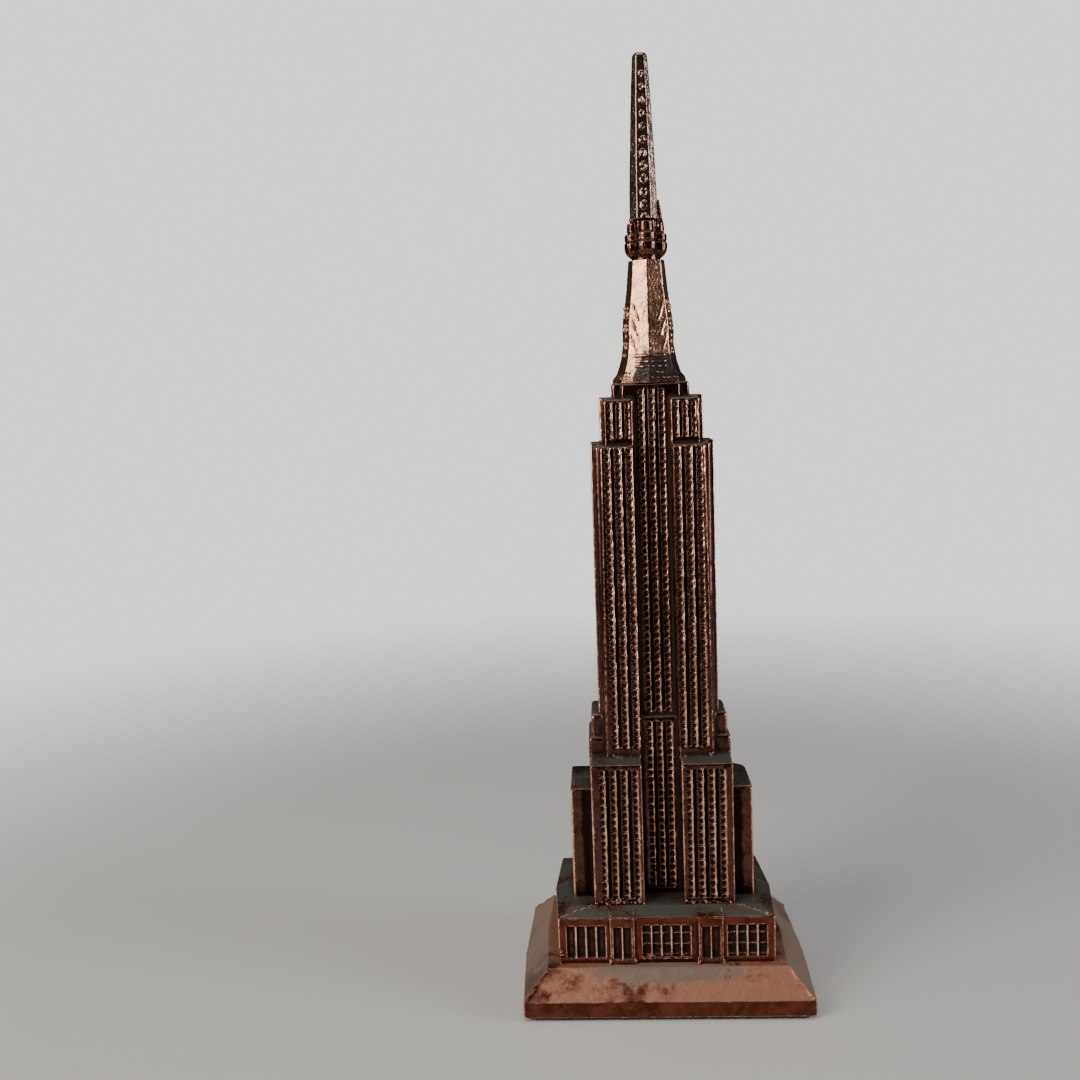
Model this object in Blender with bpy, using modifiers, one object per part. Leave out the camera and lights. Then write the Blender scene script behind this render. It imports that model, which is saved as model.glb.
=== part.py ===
"""Souvenir skyscraper: a copper-finished cast tower on a bevelled plinth with a felt foot.

Metres, +Z up. The origin is on the surface that it stands on, under the middle of the plinth.
+X is the tower's right-hand side and -Y is its front. The castings part on the plane y = 0, and
their sides taper away from it, as a two-part mould needs. A tie rod runs up the hollow middle and
clamps the plinth, the podium, the tower and the mast together, as on a trophy.
"""

import math

import bmesh
import bpy
from mathutils import Matrix, Vector

MM = 0.001

# Fits
FIT = 0.3 * MM  # left between any two pieces that touch
OVERRUN = 1.0 * MM  # how far a cutter runs past the face that it opens

# Felt pad, and the card that closes the hollow underside
FELT_THICKNESS = 0.8 * MM
FELT_INSET = 0.6 * MM
FELT_CORNER = 1.6 * MM
CARD_THICKNESS = 1.0 * MM

# Plinth: a low lip, then four sloping aprons up to a ledge
PLINTH_HALF_WIDTH = 27.5 * MM
PLINTH_HALF_DEPTH = 20.4 * MM
PLINTH_HEIGHT = 7.6 * MM
PLINTH_DRAFT = 0.7 * MM  # how much wider each side is at the parting plane
PLINTH_WALL = 2.2 * MM
LIP_HEIGHT = 2.7 * MM
APRON_RUN_X = 4.7 * MM
APRON_RUN_Y = 4.2 * MM
DECK_THICKNESS = 2.2 * MM

# Podium: the low block under the tower, with porches and a hipped roof
PODIUM_HALF_WIDTH = 20.7 * MM
PODIUM_HALF_DEPTH = 14.6 * MM
PODIUM_DRAFT = 0.9 * MM
PODIUM_WALL_HEIGHT = 8.8 * MM
PODIUM_ROOF_THICKNESS = 3.0 * MM
ROOF_RISE = 1.1 * MM
ROOF_RUN_X = 2.6 * MM
ROOF_RUN_Y = 3.3 * MM
PARAPET_HEIGHT = 1.6 * MM
PORCH_INNER = 6.1 * MM
PORCH_OUTER = 10.8 * MM
PORCH_DEPTH = 0.7 * MM
PORCH_RISE = 0.35 * MM
CORE_HALF_WIDTH = 15.5 * MM  # the hollow that the ballast fills
CORE_HALF_DEPTH = 9.0 * MM

# Levels of the shaft's top, and how much lower a block stops than the one behind it
SHAFT_HEIGHT = 89.0 * MM
UPPER_RISE = 8.6 * MM
CROWN_RISE = 2.6 * MM
STAGGER = 0.3 * MM
UPPER_STAGGER = 0.4 * MM
UPPER_HEIGHT = SHAFT_HEIGHT + UPPER_RISE
CROWN_HEIGHT = UPPER_HEIGHT + CROWN_RISE

# Tower masses: half width, depth from the parting plane, height above the tower's foot
SIDE_WING = (17.7 * MM, 7.2 * MM, 21.8 * MM)
FRONT_WING = (13.6 * MM, 11.0 * MM, 27.6 * MM)
LOW_SHOULDER = (13.8 * MM, 6.0 * MM, 31.8 * MM)
HIGH_SHOULDER = (13.2 * MM, 5.4 * MM, 36.2 * MM)
SHAFT = (11.7 * MM, 4.4 * MM, SHAFT_HEIGHT)
SHAFT_STEP = (10.9 * MM, 6.0 * MM, SHAFT_HEIGHT - STAGGER)
SHAFT_PIER = (10.0 * MM, 7.3 * MM, SHAFT_HEIGHT - 2 * STAGGER)
UPPER_SHAFT = (9.8 * MM, 4.2 * MM, UPPER_HEIGHT)
UPPER_PIER = (9.1 * MM, 6.3 * MM, UPPER_HEIGHT - UPPER_STAGGER)
CROWN = (7.35 * MM, 4.0 * MM, CROWN_HEIGHT)
CENTRE_BAY = (5.4 * MM, 5.0 * MM, CROWN_HEIGHT - STAGGER)
LOW_BAY = (3.65 * MM, 5.9 * MM, 35.7 * MM)
WING_INNER = 3.8 * MM
WING_TOP_RISE = 1.5 * MM
PIER_INNER = 3.55 * MM
UPPER_PIER_INNER = 3.4 * MM
BURIED_INNER = 6.0 * MM  # where the masses that start inside a pier or a wing begin
PIER_FLARE = 0.8 * MM
SOFTENING = 0.35 * MM
WORN_CORNER = 3.0 * MM  # radius of the right rear corner of the side wing and the high shoulder
WORN_STEPS = 4
WORN_BLOCKS = ("side_wing", "high_shoulder")

# Window ladders: sunk strips of windows between thin rails, with a groove between two ladders
WINDOW_SINK = 0.35 * MM
RAIL_WIDTH = 0.35 * MM
GROOVE_SINK = 0.7 * MM
HEAD = 0.9 * MM
SILL = 0.8 * MM
# A row of ladders: first centre, pitch, number on each side, and window width
WING_LADDERS = (5.15 * MM, 2.13 * MM, 4, 0.8 * MM)
PIER_LADDERS = (4.55 * MM, 2.1 * MM, 3, 0.8 * MM)
UPPER_LADDERS = (4.55 * MM, 1.7 * MM, 3, 0.5 * MM)
BAY_LADDERS = (0.0, 1.95 * MM, 2, 0.75 * MM)

# Podium windows: first centre, pitch and number on each side
LIGHT_WIDTH = 1.55 * MM
LIGHT_SINK = 0.6 * MM
OUTER_LIGHTS = (12.5 * MM, 1.95 * MM, 4)
PORCH_LIGHTS = (7.5 * MM, 1.9 * MM, 2)
CENTRE_LIGHTS = (0.0, 1.9 * MM, 3)

# Hollow of the tower
HOLLOW_HALF_WIDTH = 8.0 * MM
HOLLOW_HALF_DEPTH = 3.2 * MM
HOLLOW_HEIGHT = SHAFT_HEIGHT - 5.0 * MM
NECK_HALF_WIDTH = 5.0 * MM
NECK_HALF_DEPTH = 2.6 * MM
CROWN_THICKNESS = 3.0 * MM

# Pins that line up the halves
PIN_RADIUS = 0.7 * MM
PIN_LENGTH = 4.4 * MM
TOWER_PIN_HEIGHTS = {"low": 38.0 * MM, "high": 78.0 * MM}  # above the tower's foot
PODIUM_PIN_HEIGHT = 4.4 * MM  # above the podium's foot

# Tie rod, nut and washer
ROD_RADIUS = 1.5 * MM
ROD_IN_MAST = 5.0 * MM
NUT_ACROSS_FLATS = 5.5 * MM
NUT_HEIGHT = 2.4 * MM
WASHER_RADIUS = 4.0 * MM
WASHER_THICKNESS = 0.6 * MM
NUT_POCKET_MARGIN = 1.0 * MM

# Mast: height above its foot, half width, half depth
MAST_SECTIONS = (
    (0.0 * MM, 7.1 * MM, 4.9 * MM),
    (0.5 * MM, 7.0 * MM, 4.8 * MM),
    (1.4 * MM, 6.2 * MM, 4.5 * MM),
    (3.8 * MM, 5.4 * MM, 4.2 * MM),
    (6.8 * MM, 4.9 * MM, 3.9 * MM),
    (9.0 * MM, 4.95 * MM, 3.8 * MM),
    (11.4 * MM, 4.8 * MM, 3.7 * MM),
    (14.2 * MM, 4.35 * MM, 3.5 * MM),
    (17.2 * MM, 3.95 * MM, 3.3 * MM),
    (22.6 * MM, 3.45 * MM, 3.0 * MM),
)
MAST_CORNER = (0.76, 0.62)  # where its corners lie, as shares of the half width and half depth

# Mast cap: a drum with four turned pods round it, and one pointed ear
CAP_HEIGHT = 6.9 * MM
DRUM_RADIUS = 2.3 * MM
SIDE_POD_OFFSET = 2.4 * MM
SIDE_POD_SHARE = 0.8  # how slim a side pod is beside a front one
FRONT_POD_OFFSET = 2.6 * MM
POD_RADIUS = 2.1 * MM
POD_PROFILE = (  # radius and height above the cap's foot, from the top down to the dome
    (1.35 * MM, 6.6 * MM),
    (1.45 * MM, 5.0 * MM),
    (1.2 * MM, 4.7 * MM),
    (2.0 * MM, 4.4 * MM),
    (2.0 * MM, 3.3 * MM),
    (1.7 * MM, 3.05 * MM),
    (2.1 * MM, 2.8 * MM),
)
POD_STEPS = 16
DOME_STEPS = 4
EAR_OFFSET = 2.5 * MM
EAR_RADIUS = 1.1 * MM
EAR_FOOT = 5.5 * MM  # above the cap's foot
EAR_TIP = 10.9 * MM

# Antenna: height above its foot, half width
ANTENNA_SECTIONS = (
    (0.0 * MM, 2.6 * MM),
    (5.6 * MM, 2.5 * MM),
    (12.0 * MM, 2.27 * MM),
    (20.1 * MM, 1.93 * MM),
    (25.5 * MM, 1.65 * MM),
    (29.6 * MM, 1.4 * MM),
    (30.2 * MM, 0.95 * MM),
)
ANTENNA_FLAT = 0.5  # the share of the width that its flats keep between the chamfers
ANTENNA_OFFSET = -0.3 * MM
PEG_RADIUS = 1.0 * MM
PEG_LENGTH = 2.6 * MM

# Levels, worked out from the sizes above
PLINTH_FOOT = FELT_THICKNESS + FIT
LIP_TOP = PLINTH_FOOT + LIP_HEIGHT
PLINTH_TOP = PLINTH_FOOT + PLINTH_HEIGHT
DECK_UNDERSIDE = PLINTH_TOP - DECK_THICKNESS
CARD_TOP = PLINTH_FOOT + CARD_THICKNESS
NUT_FOOT = CARD_TOP + FIT
WASHER_FOOT = NUT_FOOT + NUT_HEIGHT + FIT
POCKET_TOP = WASHER_FOOT + WASHER_THICKNESS + FIT
PODIUM_FOOT = PLINTH_TOP + FIT
PODIUM_EAVES = PODIUM_FOOT + PODIUM_WALL_HEIGHT
PODIUM_TOP = PODIUM_EAVES + ROOF_RISE
PODIUM_CEILING = PODIUM_TOP - PODIUM_ROOF_THICKNESS
TOWER_FOOT = PODIUM_TOP + FIT
MAST_FOOT = TOWER_FOOT + CROWN[2] + FIT
CAP_FOOT = MAST_FOOT + MAST_SECTIONS[-1][0] + FIT
ANTENNA_FOOT = CAP_FOOT + CAP_HEIGHT + FIT

FRONT, BACK = -1, 1
SIDES = {"left": -1, "right": 1}


def clear_scene():
    for obj in list(bpy.data.objects):
        bpy.data.objects.remove(obj, do_unlink=True)


def new_collection(name, helper=False):
    collection = bpy.data.collections.new(name)
    bpy.context.scene.collection.children.link(collection)
    collection.hide_render = helper
    return collection


def make_material(name, colour, roughness, metallic):
    material = bpy.data.materials.new(name)
    material.use_nodes = True
    shader = material.node_tree.nodes["Principled BSDF"]
    shader.inputs["Base Color"].default_value = (*colour, 1.0)
    shader.inputs["Roughness"].default_value = roughness
    shader.inputs["Metallic"].default_value = metallic
    material.diffuse_color = (*colour, 1.0)
    return material


# Tools ----------------------------------------------------------------------------------------


def face_outwards(bm):
    bmesh.ops.recalc_face_normals(bm, faces=bm.faces)
    if bm.calc_volume(signed=True) < 0:
        bmesh.ops.reverse_faces(bm, faces=bm.faces)


def add_object(home, name, bm, material=None):
    """Makes an object of a bmesh. Without a material it is a helper, which isn't rendered."""
    face_outwards(bm)
    mesh = bpy.data.meshes.new(name)
    bm.to_mesh(mesh)
    bm.free()
    obj = bpy.data.objects.new(name, mesh)
    home.objects.link(obj)
    if material:
        mesh.materials.append(material)
    else:
        obj.hide_render = True
        obj.display_type = "WIRE"
    return obj


def combine(obj, helpers, operation):
    """Joins an object with all the helpers in a collection, or cuts it with them."""
    modifier = obj.modifiers.new(helpers.name, "BOOLEAN")
    modifier.operand_type = "COLLECTION"
    modifier.collection = helpers
    modifier.operation = operation
    modifier.solver = "EXACT"


def box(home, name, low, high, material=None):
    bm = bmesh.new()
    bmesh.ops.create_cube(bm, size=1.0)
    for vert in bm.verts:
        vert.co = [a + (c + 0.5) * (b - a) for a, b, c in zip(low, high, vert.co)]
    return add_object(home, name, bm, material)


def bar(home, name, radius, start, end, material=None, sides=24, end_radius=None):
    """A round bar between two points, or a taper when end_radius is given."""
    start, end = Vector(start), Vector(end)
    bm = bmesh.new()
    bmesh.ops.create_cone(
        bm,
        cap_ends=True,
        segments=sides,
        radius1=radius,
        radius2=radius if end_radius is None else end_radius,
        depth=(end - start).length,
    )
    turn = (end - start).to_track_quat("Z", "Y").to_matrix().to_4x4()
    bm.transform(Matrix.Translation((start + end) / 2) @ turn)
    obj = add_object(home, name, bm, material)
    shade_round(obj)
    return obj


def upright(home, name, radius, low, high, material=None, at=(0.0, 0.0), sides=24):
    return bar(home, name, radius, (*at, low), (*at, high), material, sides)


def shade_round(obj, angle=math.radians(40)):
    obj.data.shade_smooth()
    obj.data.set_sharp_from_angle(angle=angle)


def loft(home, name, rings, material=None):
    """A solid through rings of points, all the same way round, from the lowest to the highest."""
    bm = bmesh.new()
    bmesh.ops.create_circle(bm, cap_ends=True, segments=len(rings[0]), radius=1.0)
    cap = next(iter(bm.faces))
    place_ring(cap, rings[0])
    for ring in rings[1:]:
        grown = bmesh.ops.extrude_face_region(bm, geom=[cap])
        if ring is not rings[1]:
            bmesh.ops.delete(bm, geom=[cap], context="FACES_ONLY")  # it is now inside
        cap = next(item for item in grown["geom"] if isinstance(item, bmesh.types.BMFace))
        place_ring(cap, ring)
    return add_object(home, name, bm, material)


def place_ring(face, ring):
    for vert, point in zip(face.verts, ring):
        vert.co = point


def turned(home, name, profile, at, steps):
    """A turned piece: a profile of radius and height, from the top down, with a Screw."""
    mesh = bpy.data.meshes.new(name)
    points = [(radius, 0.0, height) for radius, height in profile]
    mesh.from_pydata(points, [(i, i + 1) for i in range(len(points) - 1)], [])
    obj = bpy.data.objects.new(name, mesh)
    obj.location = at
    obj.hide_render = True
    obj.display_type = "WIRE"
    home.objects.link(obj)
    screw = obj.modifiers.new("turn", "SCREW")
    screw.steps = steps
    screw.render_steps = steps
    screw.use_merge_vertices = True
    screw.merge_threshold = 0.01 * MM
    screw.use_normal_calculate = True
    return obj


# Felt, card and plinth ------------------------------------------------------------------------


def make_felt_pad(parts, material):
    """A thin felt plate with round corners, a little smaller than the plinth."""
    bm = bmesh.new()
    bmesh.ops.create_cube(bm, size=1.0)
    width = 2 * (PLINTH_HALF_WIDTH - FELT_INSET)
    depth = 2 * (PLINTH_HALF_DEPTH - FELT_INSET)
    bmesh.ops.scale(bm, vec=(width, depth, FELT_THICKNESS), verts=bm.verts)
    bmesh.ops.translate(bm, vec=(0, 0, FELT_THICKNESS / 2), verts=bm.verts)
    corners = [edge for edge in bm.edges if edge.verts[0].co.xy == edge.verts[1].co.xy]
    bmesh.ops.bevel(bm, geom=corners, offset=FELT_CORNER, segments=5, affect="EDGES", profile=0.5)
    shade_round(add_object(parts, "felt_pad", bm, material))


def plinth_ring(height, inset_x=0.0, inset_y=0.0):
    """The plinth's six-sided plan at a height: wider at the parting plane than at its corners."""
    x = PLINTH_HALF_WIDTH - inset_x
    y = PLINTH_HALF_DEPTH - inset_y
    middle = x + PLINTH_DRAFT
    corners = ((-x, -y), (x, -y), (middle, 0.0), (x, y), (-x, y), (-middle, 0.0))
    return [(*corner, height) for corner in corners]


def hollow_rings(margin, low, high):
    """The plinth's hollow, shrunk by a margin, between two heights."""
    inset = PLINTH_WALL + margin
    slope = max(0.0, (high - LIP_TOP) / (PLINTH_TOP - LIP_TOP))
    return [
        plinth_ring(low, inset, inset),
        plinth_ring(LIP_TOP, inset, inset),
        plinth_ring(high, inset + slope * APRON_RUN_X, inset + slope * APRON_RUN_Y),
    ]


def make_plinth(parts, material):
    rings = [
        plinth_ring(PLINTH_FOOT),
        plinth_ring(LIP_TOP),
        plinth_ring(PLINTH_TOP, APRON_RUN_X, APRON_RUN_Y),
    ]
    plinth = loft(parts, "plinth", rings, material)
    cuts = new_collection("plinth_cuts", helper=True)
    loft(cuts, "plinth_hollow", hollow_rings(0.0, PLINTH_FOOT - OVERRUN, DECK_UNDERSIDE))
    core_box(cuts, "deck_opening", 0.0, DECK_UNDERSIDE - OVERRUN, PLINTH_TOP + OVERRUN)
    combine(plinth, cuts, "DIFFERENCE")


def core_box(home, name, margin, low, high, material=None):
    """The square core that the ballast fills, shrunk by a margin."""
    x = CORE_HALF_WIDTH - margin
    y = CORE_HALF_DEPTH - margin
    return box(home, name, (-x, -y, low), (x, y, high), material)


def make_base_card(parts, material):
    inset = PLINTH_WALL + FIT
    rings = [plinth_ring(height, inset, inset) for height in (PLINTH_FOOT, CARD_TOP)]
    loft(parts, "base_card", rings, material)


def make_ballast(parts, material):
    """The filling of the plinth and the podium, with a pocket for the nut and a hole for the rod."""
    rings = hollow_rings(FIT, NUT_FOOT, DECK_UNDERSIDE - FIT)
    ballast = loft(parts, "ballast_block", rings, material)
    masses = new_collection("ballast_masses", helper=True)
    core_box(masses, "ballast_core", FIT, NUT_FOOT + OVERRUN, PODIUM_CEILING - FIT)
    combine(ballast, masses, "UNION")
    cuts = new_collection("ballast_cuts", helper=True)
    rod_hole(cuts, "ballast_rod_hole", NUT_FOOT, PODIUM_CEILING + OVERRUN)
    pocket = WASHER_RADIUS + NUT_POCKET_MARGIN
    upright(cuts, "nut_pocket", pocket, NUT_FOOT - OVERRUN, POCKET_TOP)
    combine(ballast, cuts, "DIFFERENCE")


# Podium ---------------------------------------------------------------------------------------


def make_podium_half(parts, name, facing, material):
    joint = facing * FIT / 2

    def ring(height, inset_x=0.0, inset_y=0.0):
        x = PODIUM_HALF_WIDTH - inset_x
        y = facing * (PODIUM_HALF_DEPTH - inset_y)
        middle = x + PODIUM_DRAFT
        corners = ((-middle, joint), (-x, y), (x, y), (middle, joint))
        return [(*corner, height) for corner in corners]

    rings = [ring(PODIUM_FOOT), ring(PODIUM_EAVES), ring(PODIUM_TOP, ROOF_RUN_X, ROOF_RUN_Y)]
    podium = loft(parts, name, rings, material)
    masses = new_collection(name + "_masses", helper=True)
    face = PODIUM_HALF_DEPTH + PORCH_DEPTH
    for side in (-1, 1):
        xs = sorted((side * PORCH_INNER, side * PORCH_OUTER))
        ys = sorted((facing * face, facing * (PODIUM_HALF_DEPTH - ROOF_RUN_Y / 2)))
        low = (xs[0], ys[0], PODIUM_FOOT)
        high = (xs[1], ys[1], PODIUM_EAVES + PORCH_RISE)
        box(masses, name + "_porch", low, high)
    combine(podium, masses, "UNION")

    cuts = new_collection(name + "_cuts", helper=True)
    core_box(cuts, name + "_core", 0.0, PODIUM_FOOT - OVERRUN, PODIUM_CEILING)
    rod_hole(cuts, name + "_rod_hole", PODIUM_CEILING - OVERRUN, PODIUM_TOP + OVERRUN)
    pin_holes(cuts, podium_pins())
    low = PODIUM_FOOT + SILL
    high = PODIUM_EAVES - PARAPET_HEIGHT
    for lights, depth in ((OUTER_LIGHTS, 0.0), (PORCH_LIGHTS, PORCH_DEPTH), (CENTRE_LIGHTS, 0.0)):
        for x in places(lights):
            wall = facing * (PODIUM_HALF_DEPTH + depth)
            slot(cuts, name + "_light", x, LIGHT_WIDTH, wall, LIGHT_SINK, low, high)
    combine(podium, cuts, "DIFFERENCE")


# Tower ----------------------------------------------------------------------------------------


def mass(home, name, facing, size, side=0, inner=0.0, flare=0.0, rise=0.0, worn=False):
    """One block of the tower, from just past the parting plane outwards.

    With side 0 it runs across the whole width, and with side -1 or 1 it is one of a pair that
    starts at inner. flare widens its foot, and rise lifts its top towards the parting plane.
    """
    outer, depth, height = size
    bm = bmesh.new()
    bmesh.ops.create_cube(bm, size=1.0)
    for vert in bm.verts:
        outwards, forwards, high = (share > 0 for share in vert.co)
        reach = outer if high else outer + flare
        if side:
            x = side * (reach if outwards else inner)
        else:
            x = reach if outwards else -reach
        top = height if forwards else height + rise
        y = facing * (depth if forwards else -FIT)
        vert.co = (x, y, TOWER_FOOT + (top if high else 0.0))
    face_outwards(bm)
    if worn:
        round_outer_corner(bm)
    else:
        soften(bm, depth)
    return add_object(home, name, bm)


def soften(bm, depth):
    """Takes the sharpness off the edges round a block's face and top, as casting does."""
    edges = []
    for edge in bm.edges:
        on_foot = all(vert.co.z <= TOWER_FOOT for vert in edge.verts)
        on_joint = all(abs(vert.co.y) < depth for vert in edge.verts)
        if not (on_foot or on_joint):
            edges.append(edge)
    bmesh.ops.bevel(bm, geom=edges, offset=SOFTENING, segments=1, affect="EDGES")


def round_outer_corner(bm):
    """Rounds the upright edge that is farthest from the tower's middle."""
    corner = max(bm.edges, key=lambda edge: sum(vert.co.xy.length for vert in edge.verts))
    bmesh.ops.bevel(bm, geom=[corner], offset=WORN_CORNER, segments=WORN_STEPS, affect="EDGES",
                    profile=0.5)


def slot(home, name, x, width, face, sink, low, high):
    """A cutter for an upright slot in a wall that faces along Y."""
    outside = face + math.copysign(OVERRUN, face)
    inside = face - math.copysign(sink, face)
    ys = sorted((inside, outside))
    box(home, name, (x - width / 2, ys[0], low), (x + width / 2, ys[1], high))


def places(row):
    """The X positions of a row that repeats on both sides of the middle."""
    first, pitch, count = row
    for index in range(count):
        x = first + index * pitch
        yield x
        if x > 0:
            yield -x


def ladders(home, name, facing, row, depth, low, high):
    """The cutters of a row of window ladders: the window strips, and the grooves between them."""
    first, pitch, count, window = row
    face = facing * depth
    for x in places((first, pitch, count)):
        slot(home, name + "_windows", x, window, face, WINDOW_SINK, low, high)
    groove = pitch - window - 2 * RAIL_WIDTH
    for x in places((first + pitch / 2, pitch, count - 1)):
        slot(home, name + "_groove", x, groove, face, GROOVE_SINK, low, high)


def tower_masses(home, name, facing):
    pairs = {
        "side_wing": (SIDE_WING, BURIED_INNER, 0.0, 0.0),
        "front_wing": (FRONT_WING, WING_INNER, 0.0, WING_TOP_RISE),
        "low_shoulder": (LOW_SHOULDER, BURIED_INNER, 0.0, 0.0),
        "high_shoulder": (HIGH_SHOULDER, BURIED_INNER, 0.0, 0.0),
        "shaft_step": (SHAFT_STEP, BURIED_INNER, 0.0, 0.0),
        "shaft_pier": (SHAFT_PIER, PIER_INNER, PIER_FLARE, 0.0),
        "upper_pier": (UPPER_PIER, UPPER_PIER_INNER, 0.0, 0.0),
    }
    for label, (size, inner, flare, rise) in pairs.items():
        for side in (-1, 1):
            worn = label in WORN_BLOCKS and side == 1 and facing == BACK
            mass(home, f"{name}_{label}", facing, size, side, inner, flare, rise, worn)
    whole = {
        "shaft": SHAFT,
        "upper_shaft": UPPER_SHAFT,
        "crown": CROWN,
        "centre_bay": CENTRE_BAY,
        "low_bay": LOW_BAY,
    }
    for label, size in whole.items():
        mass(home, f"{name}_{label}", facing, size)


def tower_windows(home, name, facing):
    foot = TOWER_FOOT + SILL
    wing_top = TOWER_FOOT + FRONT_WING[2] + WING_TOP_RISE
    bay_top = TOWER_FOOT + LOW_BAY[2]
    shoulder = TOWER_FOOT + SHAFT[2]
    upper_top = TOWER_FOOT + UPPER_SHAFT[2]
    crown_top = TOWER_FOOT + CROWN[2]
    wing_head = TOWER_FOOT + FRONT_WING[2] - HEAD
    for label, row, depth, low, high in (
        ("wing", WING_LADDERS, FRONT_WING[1], foot, wing_head),
        ("low_bay", BAY_LADDERS, LOW_BAY[1], foot, bay_top - HEAD),
        ("bay", BAY_LADDERS, CENTRE_BAY[1], bay_top + SILL, crown_top - HEAD),
        ("pier", PIER_LADDERS, SHAFT_PIER[1], wing_top + SILL, shoulder - HEAD),
        ("upper", UPPER_LADDERS, UPPER_PIER[1], shoulder + SILL, upper_top - HEAD),
    ):
        ladders(home, f"{name}_{label}", facing, row, depth, low, high)


def tower_hollow(home, name, facing):
    """What is taken out behind the walls, and everything past the parting plane."""
    joint = facing * FIT / 2
    reach = SIDE_WING[0] + OVERRUN
    neck_foot = TOWER_FOOT + HOLLOW_HEIGHT
    neck_top = TOWER_FOOT + CROWN[2] - CROWN_THICKNESS
    ys = sorted((joint, -facing * reach))
    box(home, name + "_joint", (-reach, ys[0], 0.0), (reach, ys[1], MAST_FOOT))
    for label, x, y, low, high in (
        ("hollow", HOLLOW_HALF_WIDTH, HOLLOW_HALF_DEPTH, TOWER_FOOT - OVERRUN, neck_foot),
        ("neck", NECK_HALF_WIDTH, NECK_HALF_DEPTH, neck_foot - OVERRUN, neck_top),
    ):
        ys = sorted((-facing * OVERRUN, facing * y))
        box(home, f"{name}_{label}", (-x, ys[0], low), (x, ys[1], high))
    rod_hole(home, name + "_rod_hole", neck_top - OVERRUN, MAST_FOOT)
    pin_holes(home, tower_pins())


def make_tower_half(parts, name, facing, material):
    core = new_collection(name + "_masses", helper=True)
    tower_masses(core, name, facing)
    tower = core.objects[f"{name}_shaft"]
    core.objects.unlink(tower)
    parts.objects.link(tower)
    tower.name = name
    tower.hide_render = False
    tower.display_type = "TEXTURED"
    tower.data.materials.append(material)
    combine(tower, core, "UNION")
    cuts = new_collection(name + "_cuts", helper=True)
    tower_hollow(cuts, name, facing)
    combine(tower, cuts, "DIFFERENCE")
    windows = new_collection(name + "_windows", helper=True)
    tower_windows(windows, name, facing)
    combine(tower, windows, "DIFFERENCE")


# Fasteners ------------------------------------------------------------------------------------


def rod_hole(home, name, low, high):
    upright(home, name, ROD_RADIUS + FIT, low, high)


def podium_pins():
    """Each pin's place on the parting plane: in the middle of a side wall."""
    x = (CORE_HALF_WIDTH + PODIUM_HALF_WIDTH) / 2
    z = PODIUM_FOOT + PODIUM_PIN_HEIGHT
    return {f"podium_pin_{name}": (side * x, z) for name, side in SIDES.items()}


def tower_pins():
    x = (HOLLOW_HALF_WIDTH + SHAFT[0]) / 2
    return {
        f"tower_pin_{level}_{name}": (side * x, TOWER_FOOT + height)
        for level, height in TOWER_PIN_HEIGHTS.items()
        for name, side in SIDES.items()
    }


def pin_holes(home, pins):
    reach = PIN_LENGTH / 2 + FIT
    for name, (x, z) in pins.items():
        bar(home, name + "_hole", PIN_RADIUS + FIT, (x, -reach, z), (x, reach, z), sides=12)


def make_pins(parts, pins, material):
    reach = PIN_LENGTH / 2
    for name, (x, z) in pins.items():
        bar(parts, name, PIN_RADIUS, (x, -reach, z), (x, reach, z), material, sides=12)


def make_tie_rod(parts, material):
    upright(parts, "tie_rod", ROD_RADIUS, NUT_FOOT, MAST_FOOT + ROD_IN_MAST, material)


def make_nut(parts, material):
    """A plain hexagon nut, with a clear hole in place of its thread."""
    corner_radius = NUT_ACROSS_FLATS / 2 / math.cos(math.radians(30))
    top = NUT_FOOT + NUT_HEIGHT
    nut = upright(parts, "tie_rod_nut", corner_radius, NUT_FOOT, top, material, sides=6)
    cuts = new_collection("nut_cuts", helper=True)
    rod_hole(cuts, "nut_hole", NUT_FOOT - OVERRUN, top + OVERRUN)
    combine(nut, cuts, "DIFFERENCE")


def make_washer(parts, material):
    top = WASHER_FOOT + WASHER_THICKNESS
    washer = upright(parts, "tie_rod_washer", WASHER_RADIUS, WASHER_FOOT, top, material)
    cuts = new_collection("washer_cuts", helper=True)
    rod_hole(cuts, "washer_hole", WASHER_FOOT - OVERRUN, top + OVERRUN)
    combine(washer, cuts, "DIFFERENCE")


# Mast, cap and antenna ------------------------------------------------------------------------


def mast_ring(height, x, y):
    """The mast's eight-sided plan, with an upright ridge down the middle of each side."""
    corner_x, corner_y = x * MAST_CORNER[0], y * MAST_CORNER[1]
    plan = ((-x, 0), (-corner_x, -corner_y), (0, -y), (corner_x, -corner_y))
    other = [(-u, -v) for u, v in plan]
    return [(u, v, MAST_FOOT + height) for u, v in (*plan, *other)]


def make_mast(parts, material):
    mast = loft(parts, "mast", [mast_ring(*section) for section in MAST_SECTIONS], material)
    cuts = new_collection("mast_cuts", helper=True)
    rod_hole(cuts, "mast_rod_hole", MAST_FOOT - OVERRUN, MAST_FOOT + ROD_IN_MAST + FIT)
    combine(mast, cuts, "DIFFERENCE")


def pod_profile(share):
    """A pod from its top down: two rings, then a dome that hangs under them."""
    dome = [math.radians(90) * step / DOME_STEPS for step in range(DOME_STEPS + 1)]
    under = [(POD_RADIUS * math.cos(a), POD_RADIUS * (1 - math.sin(a))) for a in dome]
    under[-1] = (0.0, 0.0)
    outline = [(0.0, POD_PROFILE[0][1]), *POD_PROFILE, *under]
    return [(radius * share, height) for radius, height in outline]


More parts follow.
